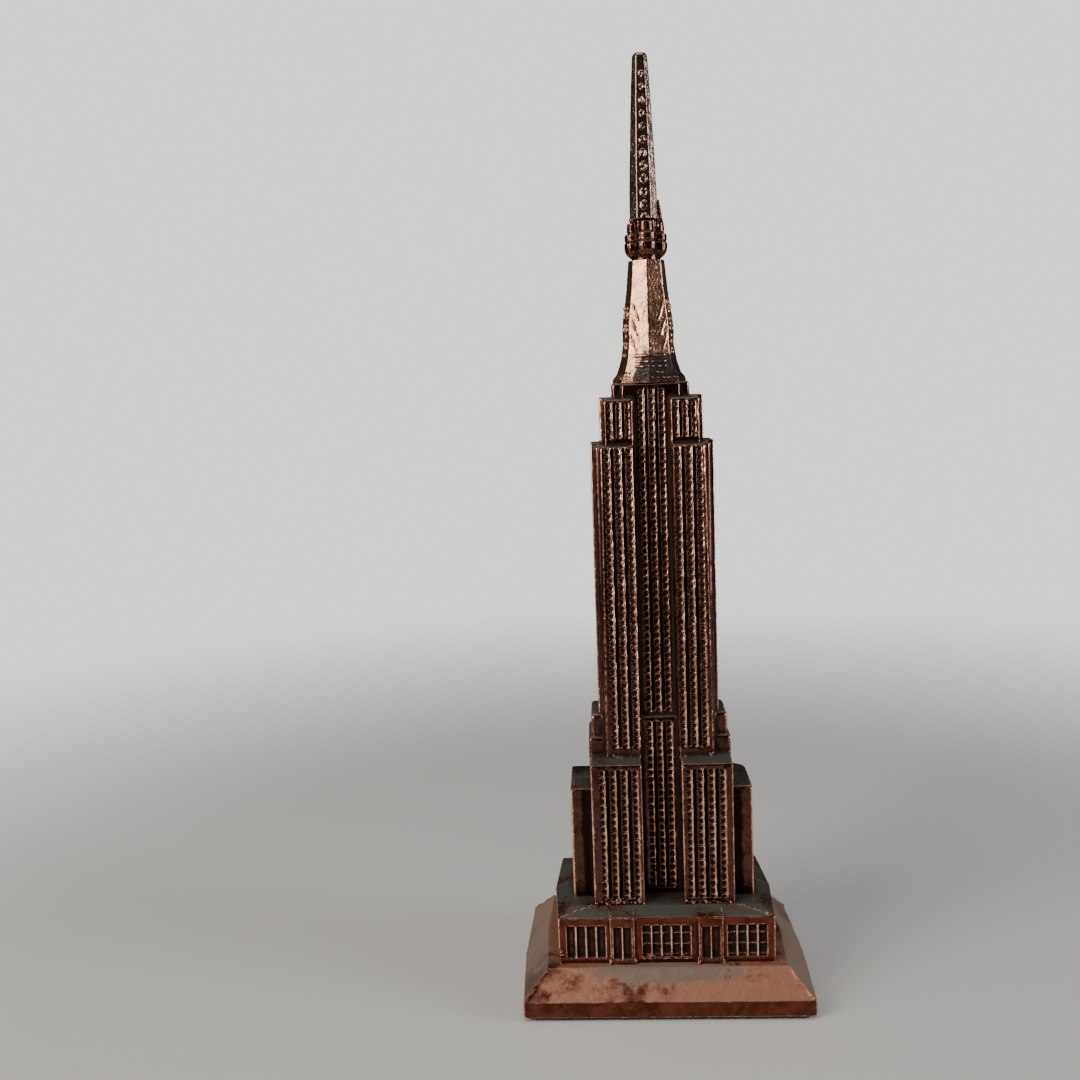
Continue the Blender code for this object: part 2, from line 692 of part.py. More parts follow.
def make_mast_cap(parts, material):
    top = CAP_FOOT + CAP_HEIGHT
    cap = upright(parts, "mast_cap", DRUM_RADIUS, CAP_FOOT, top, material, sides=POD_STEPS)
    masses = new_collection("cap_masses", helper=True)
    for side in (-1, 1):
        for at, share in (((side * SIDE_POD_OFFSET, 0, CAP_FOOT), SIDE_POD_SHARE),
                          ((0, side * FRONT_POD_OFFSET, CAP_FOOT), 1.0)):
            turned(masses, "pod", pod_profile(share), at, POD_STEPS)
    ear = ((EAR_OFFSET, 0, CAP_FOOT + EAR_FOOT), (EAR_OFFSET, 0, CAP_FOOT + EAR_TIP))
    bar(masses, "ear", EAR_RADIUS, *ear, sides=8, end_radius=EAR_RADIUS / 5)
    combine(cap, masses, "UNION")
    cuts = new_collection("cap_cuts", helper=True)
    at = (ANTENNA_OFFSET, 0.0)
    floor = ANTENNA_FOOT - PEG_LENGTH - FIT
    upright(cuts, "peg_socket", PEG_RADIUS + FIT, floor, top + OVERRUN, at=at, sides=16)
    clear = ANTENNA_SECTIONS[0][1] + FIT
    box(cuts, "antenna_seat", (ANTENNA_OFFSET - clear, -clear, top),
        (ANTENNA_OFFSET + clear, clear, CAP_FOOT + EAR_TIP + OVERRUN))
    combine(cap, cuts, "DIFFERENCE")


def make_antenna(parts, material):
    """A tapered square mast with chamfered corners, on a round peg."""

    def ring(height, x):
        flat = x * ANTENNA_FLAT
        plan = ((-x, -flat), (-flat, -x), (flat, -x), (x, -flat))
        other = [(-u, -v) for u, v in plan]
        return [(ANTENNA_OFFSET + u, v, ANTENNA_FOOT + height) for u, v in (*plan, *other)]

    antenna = loft(parts, "antenna", [ring(*section) for section in ANTENNA_SECTIONS], material)
    masses = new_collection("antenna_masses", helper=True)
    at = (ANTENNA_OFFSET, 0.0)
    foot = ANTENNA_FOOT - PEG_LENGTH
    upright(masses, "peg", PEG_RADIUS, foot, ANTENNA_FOOT + OVERRUN, at=at, sides=16)
    combine(antenna, masses, "UNION")


def main():
    clear_scene()
    parts = new_collection("souvenir_skyscraper")
    copper = make_material("antique_copper", (0.36, 0.15, 0.09), 0.32, 1.0)
    worn_copper = make_material("worn_copper", (0.42, 0.24, 0.17), 0.5, 1.0)
    felt = make_material("dark_felt", (0.02, 0.03, 0.025), 0.95, 0.0)
    card = make_material("grey_card", (0.35, 0.31, 0.25), 0.9, 0.0)
    plaster = make_material("plaster_fill", (0.75, 0.73, 0.68), 0.85, 0.0)
    steel = make_material("zinc_plated_steel", (0.6, 0.6, 0.58), 0.35, 1.0)

    make_felt_pad(parts, felt)
    make_base_card(parts, card)
    make_plinth(parts, worn_copper)
    make_ballast(parts, plaster)
    make_podium_half(parts, "podium_front", FRONT, worn_copper)
    make_podium_half(parts, "podium_back", BACK, worn_copper)
    make_tower_half(parts, "tower_front", FRONT, copper)
    make_tower_half(parts, "tower_back", BACK, copper)
    make_pins(parts, podium_pins(), steel)
    make_pins(parts, tower_pins(), steel)
    make_tie_rod(parts, steel)
    make_nut(parts, steel)
    make_washer(parts, steel)
    make_mast(parts, copper)
    make_mast_cap(parts, copper)
    make_antenna(parts, copper)


if __name__ == "__main__":
    main()
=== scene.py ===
"""Finishes the souvenir skyscraper: soft cast metal, copper plating, felt and a plain studio.

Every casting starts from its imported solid. The small repeated detail is added to it, the lot is
made one skin, softened as a worn mould softens it, and roughened. All of that is done in
millimetres, and the finished piece is put back in metres.
"""

import math

import bmesh
import bpy
import numpy as np
from bpy.props import FloatProperty, FloatVectorProperty, IntProperty, PointerProperty
from mathutils import Matrix, Vector
from mathutils.bvhtree import BVHTree


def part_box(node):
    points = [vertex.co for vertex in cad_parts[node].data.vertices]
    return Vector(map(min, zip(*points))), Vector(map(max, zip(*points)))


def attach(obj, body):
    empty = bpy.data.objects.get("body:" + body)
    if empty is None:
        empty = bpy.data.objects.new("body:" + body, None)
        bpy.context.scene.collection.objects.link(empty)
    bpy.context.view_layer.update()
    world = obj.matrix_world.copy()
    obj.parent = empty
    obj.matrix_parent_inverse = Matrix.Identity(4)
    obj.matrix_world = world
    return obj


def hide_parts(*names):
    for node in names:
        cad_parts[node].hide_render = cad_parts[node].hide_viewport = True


bl_info = {
    "name": "Souvenir Skyscraper Finish",
    "version": (1, 0, 0),
    "blender": (4, 5, 0),
    "location": "View3D > Sidebar > Souvenir",
    "description": "Finishes a cast souvenir skyscraper around its packed frame",
    "category": "Object",
}

MM = 0.001
BODY = "root"
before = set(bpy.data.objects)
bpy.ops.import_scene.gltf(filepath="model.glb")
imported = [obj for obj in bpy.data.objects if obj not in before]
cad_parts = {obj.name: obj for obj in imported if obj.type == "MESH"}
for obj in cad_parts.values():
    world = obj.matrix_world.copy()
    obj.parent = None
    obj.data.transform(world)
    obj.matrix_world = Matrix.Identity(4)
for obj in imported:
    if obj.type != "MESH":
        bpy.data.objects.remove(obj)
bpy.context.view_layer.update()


def low(node):
    """The lowest corner of a CAD node, in millimetres."""
    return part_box(node)[0] / MM


def high(node):
    """The highest corner of a CAD node, in millimetres."""
    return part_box(node)[1] / MM


# Levels that the detail hangs on, in millimetres, from the frame
LIP_TOP = low("plinth").z + 2.7
PLINTH_TOP = high("plinth").z
PODIUM_FOOT, PODIUM_TOP = low("podium_front").z, high("podium_front").z
TOWER_FOOT = low("tower_front").z
MAST_FOOT = low("mast").z
CAP_FOOT, CAP_TOP = low("mast_cap").z, high("mast_cap").z
ANTENNA_LOW, ANTENNA_HIGH = low("antenna"), high("antenna")

# The signs of x on the left and right, and the signs of y on the two halves
SIDES = (-1, 1)
HALVES = {"front": -1, "back": 1}
# Where a ray starts that looks for a surface, outside the object and in millimetres
OUTSIDE = 40.0
DOWN = (0.0, 0.0, -1.0)


# Settings -------------------------------------------------------------------------------------


def tone(label, description, *default):
    """A colour that a user may change."""
    return FloatVectorProperty(name=label, description=description, default=default,
                               subtype="COLOR", size=3)


class CastingSettings(bpy.types.PropertyGroup):
    """How soft and how rough the castings come out."""

    voxel: FloatProperty(name="Skin Step", default=0.15, min=0.05,
                         description="Size of the skin's faces, in millimetres")
    softness: IntProperty(name="Softness", default=3, min=0,
                          description="How often the skin is smoothed")
    ripple: FloatProperty(name="Ripple", default=0.07, min=0.0,
                          description="Height of the slow unevenness, in millimetres")
    grit: FloatProperty(name="Grit", default=0.03, min=0.0,
                        description="Height of the fine unevenness, in millimetres")


class LadderSettings(bpy.types.PropertyGroup):
    """The rungs between the windows."""

    floor_pitch: FloatProperty(name="Floor Pitch", default=1.36, min=0.5,
                               description="From one rung to the next, in millimetres")
    rung: FloatProperty(name="Rung", default=0.42, min=0.1,
                        description="Height of a rung, in millimetres")
    jitter: FloatProperty(name="Jitter", default=0.12, min=0.0, subtype="FACTOR",
                          description="How much a rung's size may vary, as a share of it")
    seed: IntProperty(name="Seed", default=7, description="Picks the rungs' random sizes")


class FinishSettings(bpy.types.PropertyGroup):
    """The colours of the plating and the felt. Each plated piece has its own flat colour."""

    # Bright copper is also the colour of the painted highlights on the window rails
    bright: tone("Bright Copper", "Copper rubbed bright", 0.95, 0.66, 0.48)
    rubbed_and_highlit: tone("Rubbed Copper", "Smooth worn copper", 0.55, 0.25, 0.155)
    patina: tone("Patina", "Toned copper", 0.135, 0.06, 0.046)
    # The real black of the recesses, also used as painted shade between masses and as painted
    # shadow beside the front wings
    recess_and_shade_black: tone("Recess", "Blackened recesses", 0.022, 0.011, 0.009)
    smoky: tone("Smoky Copper", "Grey-brown tarnish", 0.36, 0.25, 0.21)
    dust: tone("Dust", "Dull dusty tops", 0.062, 0.061, 0.051)
    glossy: tone("Glossy Copper", "Dark red copper", 0.20, 0.055, 0.035)
    polished: tone("Polished Copper", "The mast's facets", 0.66, 0.36, 0.225)
    tarnish: tone("Tarnish", "Dull grey-brown", 0.27, 0.20, 0.16)
    soot: tone("Soot", "Dark rough foot", 0.05, 0.038, 0.036)
    rosy: tone("Rosy Copper", "Matt worn plating", 0.46, 0.21, 0.135)
    felt: tone("Felt", "Felt under the plinth", 0.012, 0.02, 0.016)


class StageSettings(bpy.types.PropertyGroup):
    """The camera, the lights, the floor and what lies behind."""

    lens: FloatProperty(name="Lens", default=38.88, unit="CAMERA",
                        description="Focal length in millimetres")
    pitch: FloatProperty(name="Pitch", default=math.radians(7.332), subtype="ANGLE",
                         description="How far the camera looks down")
    yaw: FloatProperty(name="Yaw", default=math.radians(-3.181), subtype="ANGLE",
                       description="How far the camera is turned")
    roll: FloatProperty(name="Roll", default=math.radians(-2.168), subtype="ANGLE",
                        description="How far the camera is tilted")
    place: FloatVectorProperty(name="Camera Place", size=3, subtype="TRANSLATION",
                               default=(-0.009564, -0.22727, 0.11871),
                               description="Where the camera stands, in metres")
    key_power: FloatProperty(name="Key Power", default=7.0, unit="POWER",
                             description="Light from the front left")
    fill_power: FloatProperty(name="Fill Power", default=4.0, unit="POWER",
                              description="Light from the right")
    top_power: FloatProperty(name="Top Power", default=3.0, unit="POWER",
                             description="Light from above")
    room: tone("Room", "Light from all round", 0.055, 0.05, 0.047)
    backdrop: tone("Backdrop", "What the camera sees", 1.32, 1.31, 1.29)
    floor: tone("Floor", "Darkest floor colour", 0.60, 0.585, 0.56)
    floor_high: tone("Floor High", "Lightest floor colour", 0.63, 0.615, 0.59)


# Node helpers ---------------------------------------------------------------------------------


class Wire:
    """A number that comes out of a node, so that sums on it add their Math nodes."""

    def __init__(self, graph, socket):
        self.graph = graph
        self.socket = socket

    def math(self, operation, *others, clamp=False):
        settings = {"operation": operation, "use_clamp": clamp}
        return self.graph.add("ShaderNodeMath", settings, [self, *others])

    def __add__(self, other):
        return self.math("ADD", other)

    __radd__ = __add__

    def __sub__(self, other):
        return self.math("SUBTRACT", other)

    def __rsub__(self, other):
        return self.graph.add("ShaderNodeMath", {"operation": "SUBTRACT"}, [other, self])

    def __mul__(self, other):
        return self.math("MULTIPLY", other)

    __rmul__ = __mul__

    def clamp(self):
        return self.math("ADD", 0.0, clamp=True)


class Graph:
    """A node tree, with one method that adds any node."""

    def __init__(self, tree):
        self.tree = tree
        tree.nodes.clear()

    def add(self, kind, settings=None, values=None, output=0):
        """Adds a node, makes its settings, then fills its sockets by name or in order."""
        node = self.tree.nodes.new(kind)
        for name, value in (settings or {}).items():
            setattr(node, name, value)
        pairs = values.items() if isinstance(values, dict) else enumerate(values or [])
        for key, value in pairs:
            socket = node.inputs[key]
            if isinstance(value, Wire):
                self.tree.links.new(value.socket, socket)
            else:
                socket.default_value = value
        return Wire(self, node.outputs[output]) if node.outputs else node

    def vector(self, operation, *values):
        return self.add("ShaderNodeVectorMath", {"operation": operation}, values)

    def noise(self, at, scale, detail=3.0, roughness=0.55, distortion=0.0):
        values = {"Vector": at, "Scale": scale, "Detail": detail, "Roughness": roughness,
                  "Distortion": distortion}
        return self.add("ShaderNodeTexNoise", None, values)

    def mark(self, name):
        """A number that is stored on the skin."""
        return self.add("ShaderNodeAttribute", {"attribute_name": name}, output=2)

    def steps(self, value, start, end):
        """0 up to start, 1 from end on, and a smooth rise between them."""
        values = {"Value": value, "From Min": start, "From Max": end}
        return self.add("ShaderNodeMapRange", {"interpolation_type": "SMOOTHSTEP"}, values)

    def mix(self, share, first, second):
        values = {0: share, 6: colour(first), 7: colour(second)}
        return self.add("ShaderNodeMix", {"data_type": "RGBA"}, values, output=2)


def colour(value):
    return value if isinstance(value, Wire) else (*value, 1.0)


def new_shader(name):
    """A material, its graph and its Object coordinates."""
    material = bpy.data.materials.new(name)
    material.use_nodes = True
    graph = Graph(material.node_tree)
    return material, graph, graph.add("ShaderNodeTexCoord", output=3)


def finish_shader(graph, base, roughness, metallic, bump, strength, distance, fixed=None):
    """Ends a shader in a Principled BSDF with a bump."""
    normal = graph.add("ShaderNodeBump", None,
                       {"Height": bump, "Strength": strength, "Distance": distance})
    values = {"Base Color": base, "Roughness": roughness, "Metallic": metallic,
              "Normal": normal, **(fixed or {})}
    shader = graph.add("ShaderNodeBsdfPrincipled", None, values)
    graph.add("ShaderNodeOutputMaterial", None, {"Surface": shader})


# Materials ------------------------------------------------------------------------------------

# How fine the plating's patterns are: the noise scale on coordinates in metres
CLOUDS = 110.0
BLOTCHES = 420.0
SCRATCHES = 2400.0
GRAIN = 2600.0
PLATING_BUMP = 0.00007


def plating(name, finish, flat, gloss=0.20, rosy_share=0.0, dust_share=1.0, side_greying=0.0,
            tarnish=None):
    """Antique copper: black in the recesses, painted shade between masses, toned on the flats and
    rubbed bright on the edges, with painted highlights on the window rails.

    flat is the colour of the flats, and gloss their roughness. rosy_share is how much of the upward
    faces is worn matt, dust_share how dusty the tops are, and side_greying how grey and dull the
    faces are that look left or right, by their facing alone. Where the skin is marked as stained,
    it takes the tarnish colour; on the tower that mark is painted shadow.
    """
    material, graph, at = new_shader(name)
    wear, grime, stained_and_shaded = graph.mark("wear"), graph.mark("grime"), graph.mark("stain")
    normal = graph.add("ShaderNodeNewGeometry", output=1)
    across = graph.add("ShaderNodeSeparateXYZ", None, {"Vector": normal}, output=0)
    up = graph.add("ShaderNodeSeparateXYZ", None, {"Vector": normal}, output=2)
    clouds = graph.noise(at, CLOUDS, 4.0)
    blotches = graph.noise(at, BLOTCHES, 5.0, 0.6, 0.6)
    grain = graph.noise(at, GRAIN, 3.0, 0.6)
    scratched = scratches(graph, at)

    # Wear on the edges, with painted highlights on the window rails: least on those that face a
    # little upwards, and broken up by the noises
    spared = 1 - 0.8 * (graph.steps(up, 0.1, 0.4) - graph.steps(up, 0.75, 0.95))
    broken = wear * spared + (blotches - 0.5) * 0.8 + (grain - 0.5) * 0.4 + (clouds - 0.5) * 0.7
    rubbed_and_highlit = graph.steps(broken, 0.42, 0.8)
    bright = graph.steps(broken, 0.8, 1.15)

    # Black in the recesses and painted shade between masses, dust on the tops, matt worn copper and
    # tarnish on the flats, with painted shadow beside the tower's front wings
    deep_and_shaded = graph.steps(grime + (blotches - 0.5) * 0.35, 0.25, 0.75)
    tops = graph.steps(up, 0.45, 0.8)
    dusty = (tops * graph.steps(clouds + (grain - 0.5) * 0.6, 0.30, 0.55) * dust_share).clamp()
    toned = graph.mix(graph.steps(blotches, 0.35, 0.7), flat, darker(flat))
    rosy = graph.steps(clouds + (blotches - 0.5) * 0.4, 0.62 - rosy_share, 0.82 - rosy_share)
    if rosy_share:
        rosy = rosy * graph.steps(up, 0.15, 0.45)
        toned = graph.mix(rosy, toned, finish.rosy)
    toned = graph.mix(dusty, toned, finish.dust)
    # Faces that look left or right are made greyer and duller, by their facing alone
    side = graph.steps(across.math("ABSOLUTE"), 0.3, 0.5) * side_greying
    # The stain mark is a real stain on the plinth and the mast, and painted shadow beside the
    # tower's front wings
    uneven = stained_and_shaded + (blotches - 0.5) * 1.1 + (grain - 0.5) * 0.5
    dull = (graph.steps(uneven, 0.3, 0.75) * graph.steps(stained_and_shaded, 0.0, 0.2) + side).clamp()
    toned = graph.mix(dull, toned, tarnish or finish.tarnish)
    toned = graph.mix(deep_and_shaded, toned, finish.recess_and_shade_black)
    # Rubbed and bright copper show real edge wear and also the painted highlights on the window
    # rails
    toned = graph.mix(rubbed_and_highlit, toned, finish.rubbed_and_highlit)
    base = graph.mix(bright, toned, finish.bright)

    roughness = (gloss + 0.55 * deep_and_shaded + 0.38 * dusty + 0.25 * dull + 0.16 * rosy - 0.3 * rubbed_and_highlit
                 + (grain - 0.5) * 0.14 + scratched * 0.1)
    roughness = roughness.math("MAXIMUM", 0.2).math("MINIMUM", 0.95)
    metallic = (1.0 - 0.75 * dusty - 0.3 * deep_and_shaded + rubbed_and_highlit * 0.4).clamp()
    skin = grain * (0.7 + dusty * 1.6 + dull * 0.8) + blotches * 0.6 - scratched * 0.9
    finish_shader(graph, base, roughness, metallic, skin, 0.4, PLATING_BUMP)
    return material


def scratches(graph, at):
    """Fine slanted scratches: noise that is drawn out along one direction."""
    drawn = graph.add("ShaderNodeMapping", None, {
        "Vector": at, "Rotation": (0.5, 0.9, 0.3), "Scale": (1.0, 0.05, 1.0)})
    return graph.steps(graph.noise(drawn, SCRATCHES, 2.0), 0.6, 0.75)


def darker(value, share=0.45):
    """A share of a colour."""
    return tuple(part * share for part in value)


def felt_cloth(finish):
    material, graph, at = new_shader("pressed_felt")
    fibres = graph.noise(at, 3200.0, 6.0, 0.7, 2.0)
    tufts = graph.noise(at, 600.0, 4.0, 0.6)
    base = graph.mix(graph.steps(fibres, 0.35, 0.75), darker(finish.felt, 0.4), finish.felt)
    finish_shader(graph, base, 0.97 - tufts * 0.08, 0.0, fibres + tufts, 0.9, 0.0002,
                  {"Sheen Weight": 0.25})
    return material


def plain_board():
    material, graph, at = new_shader("grey_board")
    fibres = graph.noise(at, 900.0, 5.0, 0.7, 1.0)
    base = graph.mix(fibres, (0.27, 0.24, 0.19), (0.42, 0.38, 0.31))
    finish_shader(graph, base, 0.85 + fibres * 0.1, 0.0, fibres, 0.4, 0.0001)
    return material


def poured_plaster():
    material, graph, at = new_shader("poured_plaster")
    pores = graph.add("ShaderNodeTexVoronoi", None, {"Vector": at, "Scale": 700.0})
    clouds = graph.noise(at, 120.0, 4.0)
    base = graph.mix(clouds, (0.62, 0.59, 0.53), (0.8, 0.78, 0.73))
    finish_shader(graph, base, 0.8 + clouds * 0.15, 0.0, graph.steps(pores, 0.0, 0.3), 0.5, 0.0002)
    return material


def plated_steel():
    material, graph, at = new_shader("zinc_plated_steel")
    spangle = graph.add("ShaderNodeTexVoronoi", None, {"Vector": at, "Scale": 500.0}, output=0)
    grain = graph.noise(at, 1800.0, 4.0)
    base = graph.mix(spangle, (0.5, 0.5, 0.47), (0.68, 0.68, 0.66))
    finish_shader(graph, base, 0.3 + grain * 0.2, 1.0, grain, 0.2, 0.00005)
    return material


# Repeated detail: Geometry Nodes ----------------------------------------------------------------


def new_tree(name, inputs):
    """A Geometry Nodes tree with named inputs. It gives back the graph and the inputs."""
    tree = bpy.data.node_groups.new(name, "GeometryNodeTree")
    tree.interface.new_socket("Geometry", in_out="INPUT", socket_type="NodeSocketGeometry")
    tree.interface.new_socket("Geometry", in_out="OUTPUT", socket_type="NodeSocketGeometry")
    for label, kind in inputs.items():
        tree.interface.new_socket(label, in_out="INPUT", socket_type="NodeSocket" + kind)
    graph = Graph(tree)
    group = tree.nodes.new("NodeGroupInput")
    sockets = {socket.name: Wire(graph, socket) for socket in group.outputs if socket.name}
    return graph, sockets


def end_tree(graph, shape, material):
    """Realizes the instances and gives them their material, as the last two nodes."""
    solid = graph.add("GeometryNodeRealizeInstances", None, {"Geometry": shape})
    done = graph.add("GeometryNodeSetMaterial", None, {"Geometry": solid, "Material": material})
    output = graph.tree.nodes.new("NodeGroupOutput")
    graph.tree.links.new(done.socket, output.inputs[0])
    return graph.tree


LINE_INPUTS = {"Pitch": "Float", "Stray": "Float", "Seed": "Int", "Material": "Material"}
BEAD_VARIES = (0.45, 0.45, 0.45)  # how much a bead's size may vary, as a share of it
RIDGE_THINNEST, RIDGE_THICKEST = 0.65, 1.2  # shares of a ridge's radius
UNIT = (1.0, 1.0, 1.0)


def spread_points(graph, given):
    """Points along every input line, a pitch apart."""
    line = graph.add("GeometryNodeMeshToCurve", None, {"Mesh": given["Geometry"]})
    return graph.add("GeometryNodeResampleCurve", {"mode": "LENGTH"},
                     {"Curve": line, "Length": given["Pitch"]})


def random_vector(graph, seed):
    """A random vector with each part from -1 to 1."""
    return graph.add("FunctionNodeRandomValue", {"data_type": "FLOAT_VECTOR"},
                     {"Min": (-1.0,) * 3, "Max": UNIT, "Seed": seed})


def even_vector(graph, number):
    return graph.add("ShaderNodeCombineXYZ", None, [number, number, number])


def strayed(graph, points, reach, seed):
    """The points, each moved a random way by up to a reach."""
    offset = graph.vector("MULTIPLY", random_vector(graph, seed), even_vector(graph, reach))
    return graph.add("GeometryNodeSetPosition", None, {"Geometry": points, "Offset": offset})


def end_instances(graph, given, points, thing, varies):
    """Puts a thing at every point, each a random share larger or smaller, and ends the tree."""
    scale = graph.vector("MULTIPLY_ADD", random_vector(graph, given["Seed"]), varies, UNIT)
    shape = graph.add("GeometryNodeInstanceOnPoints", None,
                      {"Points": points, "Instance": thing, "Scale": scale})
    return end_tree(graph, shape, given["Material"])


def bars_tree():
    """Blocks along lines, such as rungs. Stray is how much a block's size may vary."""
    graph, given = new_tree("bars_along_lines", {**LINE_INPUTS, "Size": "Vector"})
    points = spread_points(graph, given)
    block = graph.add("GeometryNodeMeshCube", None, {"Size": given["Size"]})
    return end_instances(graph, given, points, block, even_vector(graph, given["Stray"]))


def beads_tree():
    """Drops of metal along lines."""
    graph, given = new_tree("beads_along_lines", {**LINE_INPUTS, "Radius": "Float"})
    points = strayed(graph, spread_points(graph, given), given["Stray"], given["Seed"] + 1)
    drop = graph.add("GeometryNodeMeshIcoSphere", None,
                     {"Radius": given["Radius"], "Subdivisions": 2})
    return end_instances(graph, given, points, drop, BEAD_VARIES)


def ridges_tree():
    """A raised line along each input line, uneven in width and place, as in worn cast metal."""
    graph, given = new_tree("ridges_along_lines", {**LINE_INPUTS, "Radius": "Float"})
    moved = strayed(graph, spread_points(graph, given), given["Stray"], given["Seed"])
    thick = graph.add("FunctionNodeRandomValue", {"data_type": "FLOAT"},
                      {2: RIDGE_THINNEST, 3: RIDGE_THICKEST, "Seed": given["Seed"] + 2}, output=1)
    curve = graph.add("GeometryNodeSetCurveRadius", None,
                      {"Curve": moved, "Radius": thick * given["Radius"]})
    section = graph.add("GeometryNodeCurvePrimitiveCircle", None, {"Resolution": 8, "Radius": 1.0})
    radius = graph.add("GeometryNodeInputRadius")
    shape = graph.add("GeometryNodeCurveToMesh", None,
                      {"Curve": curve, "Profile Curve": section, "Scale": radius,
                       "Fill Caps": True})
    return end_tree(graph, shape, given["Material"])


def run_tree(obj, tree, values):
    """Runs a tree on an object, with values for its named inputs, and gives back a plain mesh."""
    modifier = obj.modifiers.new("detail", "NODES")
    modifier.node_group = tree
    for item in tree.interface.items_tree:
        if item.in_out == "INPUT" and item.name in values:
            modifier[item.identifier] = values[item.name]
    mesh = evaluated_mesh(obj)
    obj.modifiers.clear()
    return mesh


def detail(bm, kind, lines, **values):
    mesh = bpy.data.meshes.new("lines")
    points, edges = [], []
    for line in lines:
        first = len(points)
        points.extend(line)
        edges.extend((index, index + 1) for index in range(first, len(points) - 1))
    mesh.from_pydata(points, edges, [])
    obj = bpy.data.objects.new("lines", mesh)
    bpy.context.scene.collection.objects.link(obj)
    made = run_tree(obj, kit()[kind], {**values, "Material": kit()["raw"]})
    bpy.data.objects.remove(obj)
    bm.from_mesh(made)
    bpy.data.meshes.remove(made)


def evaluated_mesh(obj):
    bpy.context.view_layer.update()
    graph = bpy.context.evaluated_depsgraph_get()
    return bpy.data.meshes.new_from_object(obj.evaluated_get(graph))


# Casting --------------------------------------------------------------------------------------

# How often the skin is relaxed to find its edges, the hollows between bars and those between masses
EDGE_PASSES, NEAR_PASSES, FAR_PASSES = 8, 70, 170
# How strongly each shows, and how near the seam no edge is marked, in millimetres. The hollows
# between masses are darkened as painted shade
WEAR_GAIN = 2.9
NEAR_GAIN = 5.0
# The far gain sets how dark the painted shade between masses is
FAR_GAIN = 1.8
SEAM_REACH = 0.6
# How fine the skin's unevenness is: the noise scale on coordinates in millimetres
RIPPLE_SCALE = 0.55
GRIT_SCALE = 2.6
WELD = 0.002  # how near two corners are that are one
FOOT_REACH = 0.05  # how far above its lowest point a piece's foot ends
SEAT_REACH = 0.45  # how far a foot is brought down, over the clearance
JOINT_REACH = 0.2  # how near the parting plane a joint face is


def cad_shape(node):
    """The shape of a CAD node in millimetres, with its loose triangles merged."""
    bm = bmesh.new()
    bm.from_mesh(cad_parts[node].data)
    bmesh.ops.scale(bm, vec=(1 / MM,) * 3, verts=bm.verts)
    bmesh.ops.remove_doubles(bm, verts=bm.verts, dist=WELD)
    return bm


def seat(bm, reach):
    """Brings a piece's foot down onto its neighbour, over the clearance between them."""
    foot = min(vert.co.z for vert in bm.verts)
    for vert in bm.verts:
        if vert.co.z < foot + FOOT_REACH:
            vert.co.z -= reach


def start_casting(node, reach=SEAT_REACH, joint=False):
    """A CAD node's pile of solids, seated on its neighbour, and the shape it had before that.

    joint also brings the joint face of a half to the parting plane, where it meets the other.
    """
    bm = cad_shape(node)
    if joint:
        for vert in bm.verts:
            if abs(vert.co.y) < JOINT_REACH:
                vert.co.y = 0.0
    shape = BVHTree.FromBMesh(bm)
    seat(bm, reach)
    return bm, shape


def laid(shape, start, end, way, steps=8):
    """Points from start to end, each sent one way until it lands on the shape."""
    points = []
    for step in range(steps + 1):
        hit = shape.ray_cast(Vector(start).lerp(Vector(end), step / steps), Vector(way))[0]
        if hit is not None:
            points.append(hit)
    return points


def temp_object(name, bm):
    mesh = bpy.data.meshes.new(name)
    bm.to_mesh(mesh)
    bm.free()
    obj = bpy.data.objects.new(name, mesh)
    bpy.context.scene.collection.objects.link(obj)
    return obj


def with_modifiers(obj, *recipes):
    """Adds modifiers, each a type and its settings, and applies them."""
    for kind, settings in recipes:
        modifier = obj.modifiers.new(kind.lower(), kind)
        for name, value in settings.items():
            setattr(modifier, name, value)
    mesh = evaluated_mesh(obj)
    obj.modifiers.clear()
    swap_mesh(obj, mesh)


def swap_mesh(obj, mesh):
    old, obj.data = obj.data, mesh
    bpy.data.meshes.remove(old)


def read_vectors(items, name):
    values = np.empty(len(items) * 3, np.float32)
    items.foreach_get(name, values)
    return values.reshape(-1, 3).astype(np.float64)


def read_points(mesh):
    return read_vectors(mesh.vertices, "co")


def read_edges(mesh):
    edges = np.empty(len(mesh.edges) * 2, np.int32)
    mesh.edges.foreach_get("vertices", edges)
    return edges.reshape(-1, 2)


def relax(values, edges, times, share=0.6):
    """Moves each vertex's values towards the mean of its neighbours' values, times over."""
    count = len(values)
    a, b = edges[:, 0], edges[:, 1]
    links = np.maximum(np.bincount(a, minlength=count) + np.bincount(b, minlength=count), 1)
    values = np.array(values, np.float64).reshape(count, -1)
    for _ in range(times):
        for column in range(values.shape[1]):
            part = values[:, column]
            total = np.bincount(a, part[b], count) + np.bincount(b, part[a], count)
            values[:, column] = part + share * (total / links - part)
    return values


def write_points(mesh, points):
    mesh.vertices.foreach_set("co", points.astype(np.float32).ravel())
    mesh.update()


def read_attribute(mesh, name):
    values = np.empty(len(mesh.vertices), np.float32)
    mesh.attributes[name].data.foreach_get("value", values)
    return values


def write_attribute(mesh, name, values):
    """Stores numbers from 0 to 1 on a mesh's points."""
    attribute = mesh.attributes.get(name) or mesh.attributes.new(name, "FLOAT", "POINT")
    attribute.data.foreach_set("value", np.clip(values, 0.0, 1.0).astype(np.float32))


def roughen_tree():
    """Uneven cast skin: moves each point along its normal by slow ripples and fine grit."""
    graph, given = new_tree("uneven_skin", {
        "Ripple": "Float", "Ripple Scale": "Float", "Grit": "Float", "Grit Scale": "Float",
        "Material": "Material"})
    normal = graph.add("GeometryNodeInputNormal")
    at = graph.add("GeometryNodeInputPosition")
    slow = graph.noise(at, given["Ripple Scale"], 2.0) - 0.5
    fine = graph.noise(at, given["Grit Scale"], 3.0) - 0.5
    height = slow * given["Ripple"] * 2.0 + fine * given["Grit"] * 2.0
    offset = graph.add("ShaderNodeVectorMath", {"operation": "SCALE"},
                       {0: normal, "Scale": height})
    moved = graph.add("GeometryNodeSetPosition", None,
                      {"Geometry": given["Geometry"], "Offset": offset})
    return end_tree(graph, moved, given["Material"])


